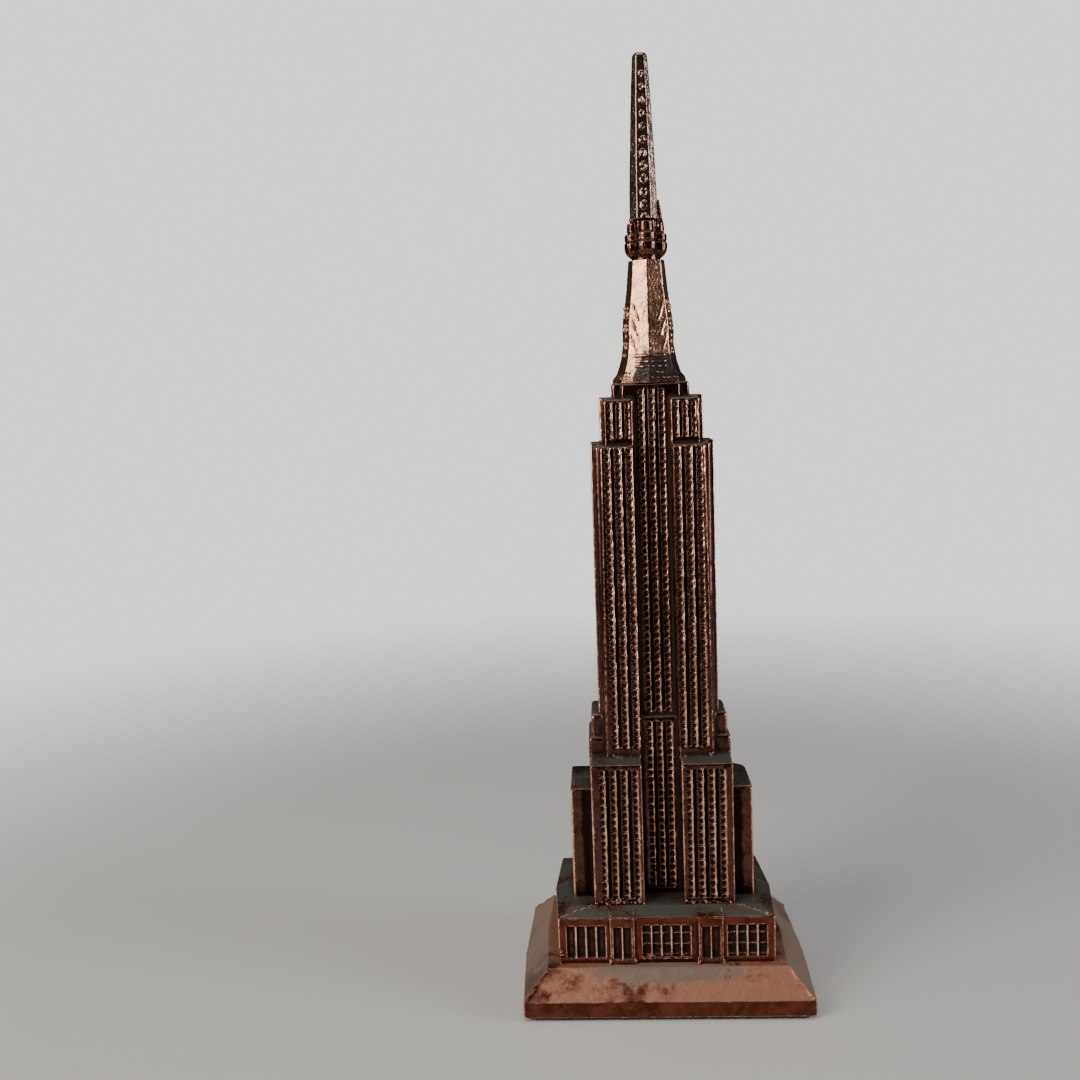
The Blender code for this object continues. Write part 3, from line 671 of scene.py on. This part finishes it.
def mark_wear_and_shade(mesh, seam, wear_gain):
    """Writes where the skin stands proud, and is rubbed bright, where it is sunk and black, and
    where it lies deep between masses, as painted shade.
    """
    points, edges = read_points(mesh), read_edges(mesh)
    normals = read_vectors(mesh.vertex_normals, "vector")
    fine = relax(points, edges, EDGE_PASSES)
    near = relax(fine, edges, NEAR_PASSES)
    far = relax(near, edges, FAR_PASSES)
    proud = ((points - fine) * normals).sum(1)
    sunk = ((near - points) * normals).sum(1)
    # Painted shade: how deep the skin lies below its widely relaxed copy, between the masses
    shaded_between_masses = ((far - points) * normals).sum(1)
    if seam:
        proud *= np.clip(np.abs(points[:, 1]) / SEAM_REACH - 0.5, 0.0, 1.0)
    write_attribute(mesh, "wear", proud * wear_gain)
    # This mark holds the black of the recesses and the painted shade between masses
    write_attribute(mesh, "grime", np.maximum(sunk * NEAR_GAIN, shaded_between_masses * FAR_GAIN))


def cast(name, bm, voxel=None, softness=None, most=190000, ripple=None, grit=None, seam=False,
         wear_gain=WEAR_GAIN, stain=None):
    """Turns a pile of solids in millimetres into one soft skin in metres, with its wear, its black
    recesses and its painted shade marked.

    voxel, softness, ripple and grit stand in for the settings, most is how many triangles it may
    have, seam keeps the joint between two halves dull, and stain gives each point its
    stain, which on the tower is painted shadow.
    """
    settings = bpy.context.scene.souvenir_casting
    step = (voxel or settings.voxel) * 1.0
    obj = temp_object(name, bm)
    with_modifiers(obj, ("REMESH", {"mode": "VOXEL", "voxel_size": step}))
    mesh = obj.data
    times = settings.softness if softness is None else softness
    write_points(mesh, relax(read_points(mesh), read_edges(mesh), times))
    swap_mesh(obj, run_tree(obj, kit()["uneven"], {
        "Ripple": settings.ripple if ripple is None else ripple, "Ripple Scale": RIPPLE_SCALE,
        "Grit": settings.grit if grit is None else grit, "Grit Scale": GRIT_SCALE}))
    mark_wear_and_shade(obj.data, seam, wear_gain / step)
    # On the tower this mark is painted shadow beside the front wings
    if stain:
        write_attribute(obj.data, "stain", stain(read_points(obj.data)))
    triangles = 2 * len(obj.data.polygons)
    if triangles > most:
        with_modifiers(obj, ("DECIMATE", {"ratio": most / triangles}))
    obj.data.transform(Matrix.Scale(MM, 4))
    obj.data.shade_smooth()
    return obj


def place(obj, finish, slot, node):
    dress(obj, kit()[finish])
    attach(obj, BODY)
    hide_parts(node)


def dress(obj, material):
    obj.data.materials.clear()
    obj.data.materials.append(material)


# Shared things, made once ---------------------------------------------------------------------

KIT = {}


def kit():
    """The trees and materials that the pieces share."""
    if not KIT:
        finish = bpy.context.scene.souvenir_finish
        KIT.update(
            bars=bars_tree(), beads=beads_tree(), ridges=ridges_tree(), uneven=roughen_tree(),
            # The antique copper's stain colour is the recess black: on the tower it is painted
            # shadow
            copper=plating("antique_copper", finish, finish.patina, tarnish=finish.recess_and_shade_black),
            glossy=plating("glossy_red_copper", finish, finish.glossy, gloss=0.18),
            worn=plating("worn_copper", finish, finish.glossy, gloss=0.36, rosy_share=0.30,
                         dust_share=0.35, side_greying=0.9),
            polished=plating("polished_copper", finish, finish.polished, gloss=0.24,
                             dust_share=0.6, tarnish=finish.soot),
            smoky=plating("smoky_copper", finish, finish.smoky, dust_share=0.4),
            felt=felt_cloth(finish),
            raw=bpy.data.materials.new("raw"),
        )
    return KIT


# Operators ------------------------------------------------------------------------------------


class SOUVENIR_OT_stage(bpy.types.Operator):
    """Set up the camera, the studio lights and the plain floor"""

    bl_idname = "souvenir.stage"
    bl_label = "Studio"

    def execute(self, context):
        stage = context.scene.souvenir_stage
        add_camera(stage)
        add_floor(stage)
        add_world(context.scene, stage)
        for name, (place_at, size, tint) in PANEL_LIGHTS.items():
            add_panel_light(name + "_light", place_at, size, getattr(stage, name + "_power"), tint)
        return {"FINISHED"}


# Each light's place, its width and height, and its tint. All of them point at the middle
PANEL_LIGHTS = {
    "key": ((-0.62, -0.50, 0.36), (0.46, 0.72), (1.0, 0.96, 0.90)),
    "fill": ((0.76, -0.20, 0.20), (0.26, 0.50), (0.95, 0.97, 1.0)),
    "top": ((-0.05, -0.05, 0.85), (0.7, 0.7), (1.0, 1.0, 1.0)),
}
MIDDLE = Vector((0.0, 0.0, 0.09))
FLOOR_RADIUS = 0.45
FADE_START = 0.13
FADE_END = FLOOR_RADIUS - 0.02
SENSOR = 36.0


def add_camera(stage):
    camera = bpy.data.objects.new("camera", bpy.data.cameras.new("camera"))
    bpy.context.scene.collection.objects.link(camera)
    camera.data.lens = stage.lens
    camera.data.sensor_width = SENSOR
    camera.data.clip_start = 0.01
    camera.matrix_world = (Matrix.Translation(stage.place)
                           @ Matrix.Rotation(-stage.yaw, 4, "Z")
                           @ Matrix.Rotation(math.radians(90) - stage.pitch, 4, "X")
                           @ Matrix.Rotation(stage.roll, 4, "Z"))
    bpy.context.scene.camera = camera


def add_floor(stage):
    """A plain pale floor that fades into the pale background."""
    bm = bmesh.new()
    bmesh.ops.create_circle(bm, cap_ends=True, segments=96, radius=FLOOR_RADIUS)
    floor = temp_object("studio_floor", bm)
    material, graph, at = new_shader("plain_floor")
    away = graph.add("ShaderNodeVectorMath", {"operation": "LENGTH"}, {"Vector": at}, output=1)
    base = graph.mix(graph.noise(at, 6.0, 2.0), stage.floor, stage.floor_high)
    faded = graph.steps(away, FADE_START, FADE_END)
    finish_shader(graph, base, 0.7, 0.0, graph.noise(at, 500.0, 2.0), 0.05, 0.0002,
                  {"Alpha": 1 - faded})
    floor.data.materials.append(material)


def add_world(scene, stage):
    """A dim room for the reflections, and a pale backdrop for the camera's own rays."""
    world = bpy.data.worlds.new("studio_world")
    scene.world = world
    world.use_nodes = True
    graph = Graph(world.node_tree)
    camera_ray = graph.add("ShaderNodeLightPath", output=0)
    base = graph.mix(camera_ray, stage.room, stage.backdrop)
    light = graph.add("ShaderNodeBackground", None, {"Color": base, "Strength": 1.0})
    graph.add("ShaderNodeOutputWorld", None, {"Surface": light})


def add_panel_light(name, place_at, size, power, tint):
    data = bpy.data.lights.new(name, "AREA")
    data.shape = "RECTANGLE"
    data.size, data.size_y = size
    data.energy = power
    data.color = tint
    obj = bpy.data.objects.new(name, data)
    bpy.context.scene.collection.objects.link(obj)
    obj.location = place_at
    obj.rotation_euler = (MIDDLE - obj.location).to_track_quat("-Z", "Y").to_euler()


class SOUVENIR_OT_felt(bpy.types.Operator):
    """Make the fibrous felt under the plinth"""

    bl_idname = "souvenir.felt"
    bl_label = "Felt Pad"

    def execute(self, context):
        obj = cast("felt_pad_cloth", cad_shape("felt_pad"), voxel=0.22, softness=2, most=90000,
                   ripple=0.05, grit=0.14)
        keep_on_floor(obj)
        place(obj, "felt", "felt", "felt_pad")
        return {"FINISHED"}


def keep_on_floor(obj):
    """Lifts what the roughening moved below the surface that the piece stands on."""
    points = read_points(obj.data)
    points[:, 2] = np.maximum(points[:, 2], 0.0)
    write_points(obj.data, points)


class SOUVENIR_OT_plinth(bpy.types.Operator):
    """Make the bevelled plinth, with its worn corner ridges"""

    bl_idname = "souvenir.plinth"
    bl_label = "Plinth"

    def execute(self, context):
        bm = start_casting("plinth")[0]
        hips = [[corner(bm, side, facing, height) for height in (LIP_TOP, PLINTH_TOP)]
                for side in SIDES for facing in HALVES.values()]
        detail(bm, "ridges", hips, Pitch=0.7, Radius=0.26, Stray=0.14, Seed=3)
        obj = cast("plinth_casting", bm, voxel=0.2, most=150000, ripple=0.10, grit=0.05,
                   wear_gain=2.2, stain=apron_stain)
        calm_top_edge(obj.data)
        place(obj, "worn", "worn_copper", "plinth")
        return {"FINISHED"}


# The aprons' tarnish: its start above the lip, the height over which it grows, its reach sideways
TARNISH_START, TARNISH_RISE, TARNISH_WIDTH = 1.2, 2.6, 17.0
RIM = 0.5


def apron_stain(points):
    """Tarnish high up on the aprons, most of all in their middle."""
    height = np.clip((points[:, 2] - LIP_TOP - TARNISH_START) / TARNISH_RISE, 0.0, 1.0)
    middle = np.clip(1.35 - np.abs(points[:, 0]) / TARNISH_WIDTH, 0.25, 1.0)
    return height * middle


def calm_top_edge(mesh):
    """Takes the bright wear off the rim under the podium."""
    under = np.clip((PLINTH_TOP - RIM - read_points(mesh)[:, 2] / MM) / RIM, 0.0, 1.0)
    write_attribute(mesh, "wear", read_attribute(mesh, "wear") * under)


def corner(bm, side, facing, height):
    """The corner that reaches furthest to one side and one face, at a height."""
    level = [vert.co for vert in bm.verts if abs(vert.co.z - height) < 0.1]
    return max(level, key=lambda point: point.x * side + point.y * facing).copy()


class SOUVENIR_OT_podium(bpy.types.Operator):
    """Make the podium's two halves, with their window bars and roof ridges"""

    bl_idname = "souvenir.podium"
    bl_label = "Podium"

    def execute(self, context):
        for half, facing in HALVES.items():
            node = "podium_" + half
            bm, shape = start_casting(node, joint=True)
            podium_detail(bm, shape, facing)
            obj = cast(node + "_casting", bm, voxel=0.14, softness=2, most=180000, seam=True)
            place(obj, "glossy", "worn_copper", node)
        return {"FINISHED"}


# The podium's face, bays, porches and roof, in millimetres from the middle
PODIUM_FACE = 14.6
BAY_SINK = 0.42
BARRED_BAYS = ((-4.7, 4.7), (11.6, 19.3))
CROSS_BARS = (10.3, 12.4, 14.6)
SILL_HALF_WIDTH = 4.8
SILL_RISE = 0.7
PORCH = (6.1, 10.8)
PORCH_FACE = 15.3
PORCH_RIDGE = (15.1, 12.4)
HIP_FOOT, HIP_HEAD = (20.3, 14.3), (13.8, 11.2)
SIDE_SEAM = ((20.9, 0.15), (17.6, 0.15))
LUMP = 20.2


def podium_detail(bm, shape, facing):
    """Cross-bars and sills in the bays, ridges on the roof and drops at the porches' feet."""

    def at(x, y, z):
        return (x, facing * y, z)

    def on_roof(start, end, side=1):
        over = PODIUM_TOP + 5.0
        start, end = at(side * start[0], start[1], over), at(side * end[0], end[1], over)
        return laid(shape, start, end, DOWN)

    bars = [[at(start, PODIUM_FACE - BAY_SINK, z), at(end, PODIUM_FACE - BAY_SINK, z)]
            for z in CROSS_BARS for start, end in BARRED_BAYS]
    sill = PODIUM_FOOT + SILL_RISE
    sills = [laid(shape, at(-SILL_HALF_WIDTH, OUTSIDE, sill), at(SILL_HALF_WIDTH, OUTSIDE, sill),
                  (0.0, -facing, 0.0))]
    roof = [on_roof((x, PORCH_RIDGE[0]), (x, PORCH_RIDGE[1]))
            for x in (-PORCH[1], -PORCH[0], PORCH[1])]
    roof += [on_roof(HIP_FOOT, HIP_HEAD, side) for side in SIDES]
    drops = [[at(side * x, PORCH_FACE - 0.1, PODIUM_FOOT), at(side * x, PORCH_FACE - 0.1, sill)]
             for side in SIDES for x in PORCH]
    drops.append([at(-LUMP, PODIUM_FACE - 0.2, PODIUM_FOOT + 0.2),
                  at(-LUMP, PODIUM_FACE - 0.2, PODIUM_FOOT + 2.2)])
    detail(bm, "ridges", bars, Pitch=0.5, Radius=0.16, Stray=0.05, Seed=11)
    detail(bm, "ridges", sills, Pitch=0.5, Radius=0.3, Stray=0.08, Seed=12)
    detail(bm, "ridges", roof, Pitch=0.5, Radius=0.24, Stray=0.12, Seed=13)
    detail(bm, "ridges", [on_roof(*SIDE_SEAM)], Pitch=0.5, Radius=0.4, Stray=0.1, Seed=14)
    detail(bm, "beads", drops, Pitch=0.6, Radius=0.46, Stray=0.12, Seed=15)


class SOUVENIR_OT_tower(bpy.types.Operator):
    """Make the tower's two halves, with a rung at every floor of every window ladder"""

    bl_idname = "souvenir.tower"
    bl_label = "Tower"

    def execute(self, context):
        ladder = context.scene.souvenir_ladders
        for half, facing in HALVES.items():
            node = "tower_" + half
            bm, shape = start_casting(node, joint=True)
            tower_rungs(bm, facing, ladder)
            tower_drops(bm, shape, facing)
            # The side wings get painted shadow beside the front wings
            obj = cast(node + "_casting", bm, seam=True, stain=wing_painted_shadow)
            # Paints a highlight on one rail of each window and painted shade on the other
            paint_rail_highlights(obj.data, facing)
            place(obj, "copper", "antique_copper", node)
        return {"FINISHED"}


# A row of ladders: first centre, pitch, number on each side, window width, face, foot and head
LADDER_ROWS = {
    "wing": (5.15, 2.13, 4, 0.8, 11.0, 0.8, 26.7),
    "low_bay": (0.0, 1.95, 2, 0.75, 5.9, 0.8, 34.8),
    "bay": (0.0, 1.95, 2, 0.75, 5.0, 36.5, 99.0),
    "pier": (4.55, 2.1, 3, 0.8, 7.3, 29.9, 88.1),
    "upper": (4.55, 1.7, 3, 0.5, 6.3, 89.8, 96.7),
}
RUNG_SINK = 0.35
RAIL = 0.35
# The painted shadow beside a front wing: from x to x, the width over which it fades, its depth
# and height
BLACK_START, BLACK_END, BLACK_FADE = 13.2, 16.4, 1.4
BLACK_DEPTH, BLACK_HEIGHT = 10.0, 21.6
# How bright the painted highlight on the raised rails is. In the middle bay it is weak below and
# strong near the crown
RAIL_SHINE = 0.95
BAY_SHINE_START, BAY_SHINE_RISE = 45.0, 26.0
BAY_SHINE_LEAST, BAY_SHINE_MOST = 0.25, 1.5
# How much of its wear the other rail of each window keeps, as painted shade
SHADED_RAIL_SHARE = 0.35


def wing_painted_shadow(points):
    """Painted shadow beside the front wings, where the side wings meet them."""
    x, y, z = np.abs(points.T)
    beside = np.clip((BLACK_END - x) / BLACK_FADE, 0.0, 1.0)
    behind = (y < BLACK_DEPTH) & (x > BLACK_START) & (z < TOWER_FOOT + BLACK_HEIGHT)
    return np.where(behind, beside, 0.0)


def paint_rail_highlights(mesh, facing):
    """Paints a highlight on the rail on one side of each window, and painted shade on the other
    rail.
    """
    x, y, z = (read_points(mesh) / MM).T
    wear = read_attribute(mesh, "wear")
    for name, (first, pitch, count, window, face, foot, head) in LADDER_ROWS.items():
        front = (y * facing > face - 0.25) & (z > TOWER_FOOT + foot) & (z < TOWER_FOOT + head)
        shine = RAIL_SHINE
        if name == "bay":
            risen = (z - TOWER_FOOT - BAY_SHINE_START) / BAY_SHINE_RISE
            shine = np.clip(risen, BAY_SHINE_LEAST, BAY_SHINE_MOST)
        for middle in mirrored(first, pitch, count):
            shift = -facing * (window + RAIL) / 2
            raised = front & (np.abs(x - middle - shift) < RAIL * 0.55)
            dull = front & (np.abs(x - middle + shift) < RAIL * 0.8)
            # Painted shade on the other rail, and a painted highlight on the raised one
            wear = np.where(dull, wear * SHADED_RAIL_SHARE, wear)
            wear = np.where(raised, np.maximum(wear, shine), wear)
    write_attribute(mesh, "wear", wear)


def mirrored(first, pitch, count):
    """A row's centres on both sides of the middle. One in the middle comes once."""
    for index in range(count):
        x = first + index * pitch
        yield x
        if x > 0:
            yield -x


def tower_rungs(bm, facing, ladder):
    """A rung at every floor of every ladder, and a raised rail on one side of each ladder."""
    for first, pitch, count, window, face, foot, head in LADDER_ROWS.values():
        y = facing * (face - RUNG_SINK / 2)
        floor = ladder.floor_pitch
        lines = [((x, y, TOWER_FOOT + foot + floor / 2), (x, y, TOWER_FOOT + head))
                 for x in mirrored(first, pitch, count)]
        detail(bm, "bars", lines, Pitch=floor, Stray=ladder.jitter, Seed=ladder.seed,
               Size=(window + 0.3, RUNG_SINK + 0.1, ladder.rung))
        shift = -facing * (window + RAIL) / 2
        y = facing * (face - 0.06)
        rails = [((x + shift, y, TOWER_FOOT + foot), (x + shift, y, TOWER_FOOT + head))
                 for x in mirrored(first, pitch, count)]
        detail(bm, "ridges", rails, Pitch=0.8, Radius=RAIL * 0.7, Stray=0.04, Seed=ladder.seed + 1)


# Where drops of metal lie along the feet of a wing and a pier: from x, to x, and y
WING_DROPS = (4.0, 13.4, 11.1)
PIER_DROPS = (4.0, 9.8, 7.5)
# The corners of the thin line on the left side wing's top
WING_TOP_LINE = ((-17.0, 1.2), (-17.0, 6.4), (-14.5, 6.4))


def tower_drops(bm, shape, facing):
    """Drops of metal where the masses meet, and the thin line on the left side wing's top."""

    def landed(start, end, height):
        return laid(shape, (start[0], facing * start[1], TOWER_FOOT + height),
                    (end[0], facing * end[1], TOWER_FOOT + height), DOWN)

    lines = []
    for side in SIDES:
        inner, outer, face = WING_DROPS
        lines.append([(side * x, facing * face, TOWER_FOOT + 0.1) for x in (inner, outer)])
        inner, outer, face = PIER_DROPS
        lines.append(landed((side * inner, face), (side * outer, face), 40.0))
    edge = []
    for start, end in zip(WING_TOP_LINE, WING_TOP_LINE[1:]):
        edge += landed(start, end, 30.0)
    detail(bm, "beads", lines, Pitch=0.75, Radius=0.3, Stray=0.25, Seed=21)
    detail(bm, "ridges", [edge], Pitch=0.5, Radius=0.17, Stray=0.04, Seed=22)


class SOUVENIR_OT_mast(bpy.types.Operator):
    """Make the faceted mast, with its strokes, steps and beaded flanks"""

    bl_idname = "souvenir.mast"
    bl_label = "Mast"

    def execute(self, context):
        bm, shape = start_casting("mast")
        for facing in HALVES.values():
            mast_detail(bm, shape, facing)
        obj = cast("mast_casting", bm, voxel=0.11, most=120000, stain=mast_stain)
        place(obj, "polished", "antique_copper", "mast")
        return {"FINISHED"}


# The mast's soot: its height on the left, its rise to the right, where and over what width it
# rises, and the height over which it fades
SOOT_HEIGHT, SOOT_RISE = 1.4, 5.4
SOOT_LEFT, SOOT_WIDTH = 3.4, 2.2
SOOT_FADE = 2.6
# Its strokes: their number, the first one's top and distance from the middle, the way to the next,
# and how far each runs inwards and down
STROKES = 3
STROKE_TOP, STROKE_PITCH = 14.3, 2.8
STROKE_OUT, STROKE_SPREAD = 2.8, 0.35
STROKE_RUN = (0.9, 3.0)
# Heights of its steps, of the drops round its foot and of the beads up its flanks
MAST_STEPS = (2.7, 3.6, 4.7)
FOOT_DROPS = (0.5, 1.4)
FLANK_BEADS = (5.0, 15.0)


def mast_stain(points):
    """Soot on the mast's foot: high on the right of its face, and only at the rim on its left."""
    x, _, z = points.T
    top = MAST_FOOT + SOOT_HEIGHT + SOOT_RISE * np.clip((x + SOOT_LEFT) / SOOT_WIDTH, 0.0, 1.0)
    return np.clip((top - z) / SOOT_FADE, 0.0, 1.0)


def mast_detail(bm, shape, facing):
    """Slanted strokes on the facets, steps over the foot, drops round it and beaded flanks."""

    def on_face(x0, z0, x1, z1, steps=8):
        eye = facing * OUTSIDE
        return laid(shape, (x0, eye, MAST_FOOT + z0), (x1, eye, MAST_FOOT + z1),
                    (0.0, -facing, 0.0), steps)

    strokes = []
    for side in SIDES:
        for index in range(STROKES):
            z = STROKE_TOP - STROKE_PITCH * index
            out = STROKE_OUT + STROKE_SPREAD * index
            strokes.append(on_face(side * out, z, side * (out - STROKE_RUN[0]), z - STROKE_RUN[1]))
    steps = [on_face(-2.7, z, 3.1, z) for z in MAST_STEPS]
    foot = [on_face(-5.5, z, 5.5, z, 24) for z in FOOT_DROPS]
    bottom, top = FLANK_BEADS
    flanks = [laid(shape, (side * OUTSIDE / 2, facing * 1.2, MAST_FOOT + bottom),
                   (side * OUTSIDE / 2, facing * 1.0, MAST_FOOT + top), (-side, 0.0, 0.0), 12)
              for side in SIDES]
    detail(bm, "beads", flanks, Pitch=1.1, Radius=0.38, Stray=0.3, Seed=34)
    detail(bm, "ridges", strokes, Pitch=0.4, Radius=0.15, Stray=0.04, Seed=31)
    detail(bm, "ridges", steps, Pitch=0.4, Radius=0.27, Stray=0.04, Seed=32)
    detail(bm, "beads", foot, Pitch=0.6, Radius=0.2, Stray=0.2, Seed=33)


class SOUVENIR_OT_cap(bpy.types.Operator):
    """Make the cap with its four pods, its pointed ear and its post"""

    bl_idname = "souvenir.cap"
    bl_label = "Mast Cap"

    def execute(self, context):
        bm = start_casting("mast_cap")[0]
        add_spike(bm, (EAR[0], 0.0, CAP_FOOT + EAR_RISE), (EAR[1], 0.0, CAP_TOP - 0.1), EAR_RADIUS)
        post = [(-POST, 0.0, CAP_FOOT + height) for height in POST_HEIGHTS]
        detail(bm, "ridges", [post], Pitch=0.5, Radius=0.85, Stray=0.06, Seed=41)
        obj = cast("mast_cap_casting", bm, voxel=0.11, softness=2, most=80000)
        place(obj, "copper", "antique_copper", "mast_cap")
        return {"FINISHED"}


# The ear on the cap's right and the post on its left, in millimetres
EAR = (1.6, 2.45)
EAR_RISE = 5.8
EAR_RADIUS = 1.5
EAR_TIP = 0.12
POST = 2.2
POST_HEIGHTS = (4.6, 7.6)


def add_spike(bm, foot, tip, radius):
    """A cone from foot to tip."""
    foot, tip = Vector(foot), Vector(tip)
    way = tip - foot
    turn = way.to_track_quat("Z", "Y").to_matrix().to_4x4()
    bmesh.ops.create_cone(bm, cap_ends=True, segments=16, radius1=radius, radius2=EAR_TIP,
                          depth=way.length, matrix=Matrix.Translation((foot + tip) / 2) @ turn)


class SOUVENIR_OT_antenna(bpy.types.Operator):
    """Make the square antenna, with its rows of small open rings"""

    bl_idname = "souvenir.antenna"
    bl_label = "Antenna"

    def execute(self, context):
        bm, shape = start_casting("antenna", ANTENNA_SINK)
        rings = [ring for facing in HALVES.values() for ring in antenna_rings(shape, facing)]
        detail(bm, "ridges", rings, Pitch=0.28, Radius=0.19, Stray=0.04, Seed=51)
        obj = cast("antenna_casting", bm, voxel=0.1, softness=2, most=120000)
        place(obj, "smoky", "antique_copper", "antenna")
        return {"FINISHED"}


# The antenna's rings: their number, the first one's height and radius, the change to the next, how
# much taller than wide they are, and how far round they go
RINGS = 12
RING_START, RING_PITCH = 2.6, 2.38
RING_RADIUS, RING_TAPER = 0.62, 0.026
RING_STRETCH = 1.3
RING_TURN = math.radians(300)
RING_STEPS = 12
RING_SHIFT = 0.15
ANTENNA_SINK = 1.3


def antenna_rings(shape, facing):
    """Small open rings up the antenna's face, smaller towards its top."""
    middle = (ANTENNA_LOW.x + ANTENNA_HIGH.x) / 2
    for index in range(RINGS):
        size = RING_RADIUS - RING_TAPER * index
        z = ANTENNA_LOW.z + RING_START + RING_PITCH * index
        ring = []
        for step in range(RING_STEPS):
            turn = RING_TURN * step / (RING_STEPS - 1) + index
            eye = Vector((middle + RING_SHIFT + size * math.cos(turn), facing * OUTSIDE,
                          z + RING_STRETCH * size * math.sin(turn)))
            ring += laid(shape, eye, eye, (0.0, -facing, 0.0), 1)[:1]
        yield ring


class SOUVENIR_OT_inside(bpy.types.Operator):
    """Give the hidden pieces their board, plaster and steel"""

    bl_idname = "souvenir.inside"
    bl_label = "Hidden Pieces"

    def execute(self, context):
        materials = {"base_card": plain_board(), "ballast_block": poured_plaster()}
        steel = plated_steel()
        for node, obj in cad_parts.items():
            if not obj.hide_render:
                dress(obj, materials.get(node, steel))
        return {"FINISHED"}


class SOUVENIR_PT_panel(bpy.types.Panel):
    """Lists the souvenir's steps and settings"""

    bl_label = "Souvenir Skyscraper"
    bl_idname = "SOUVENIR_PT_panel"
    bl_space_type = "VIEW_3D"
    bl_region_type = "UI"
    bl_category = "Souvenir"

    def draw(self, context):
        for operator in OPERATORS:
            self.layout.operator(operator.bl_idname)
        for name in SETTINGS:
            group = getattr(context.scene, name)
            box = self.layout.box()
            for key in group.__annotations__:
                box.prop(group, key)


SETTINGS = {
    "souvenir_casting": CastingSettings,
    "souvenir_ladders": LadderSettings,
    "souvenir_finish": FinishSettings,
    "souvenir_stage": StageSettings,
}
OPERATORS = (
    SOUVENIR_OT_stage,
    SOUVENIR_OT_felt,
    SOUVENIR_OT_plinth,
    SOUVENIR_OT_podium,
    SOUVENIR_OT_tower,
    SOUVENIR_OT_mast,
    SOUVENIR_OT_cap,
    SOUVENIR_OT_antenna,
    SOUVENIR_OT_inside,
)


def register():
    for cls in (*SETTINGS.values(), *OPERATORS, SOUVENIR_PT_panel):
        bpy.utils.register_class(cls)
    for name, cls in SETTINGS.items():
        setattr(bpy.types.Scene, name, PointerProperty(type=cls))


def unregister():
    for name in SETTINGS:
        delattr(bpy.types.Scene, name)
    for cls in (SOUVENIR_PT_panel, *reversed(OPERATORS), *reversed(SETTINGS.values())):
        bpy.utils.unregister_class(cls)


def main():
    register()
    for operator in OPERATORS:
        module, name = operator.bl_idname.split(".")
        getattr(getattr(bpy.ops, module), name)()


if __name__ == "__main__":
    main()
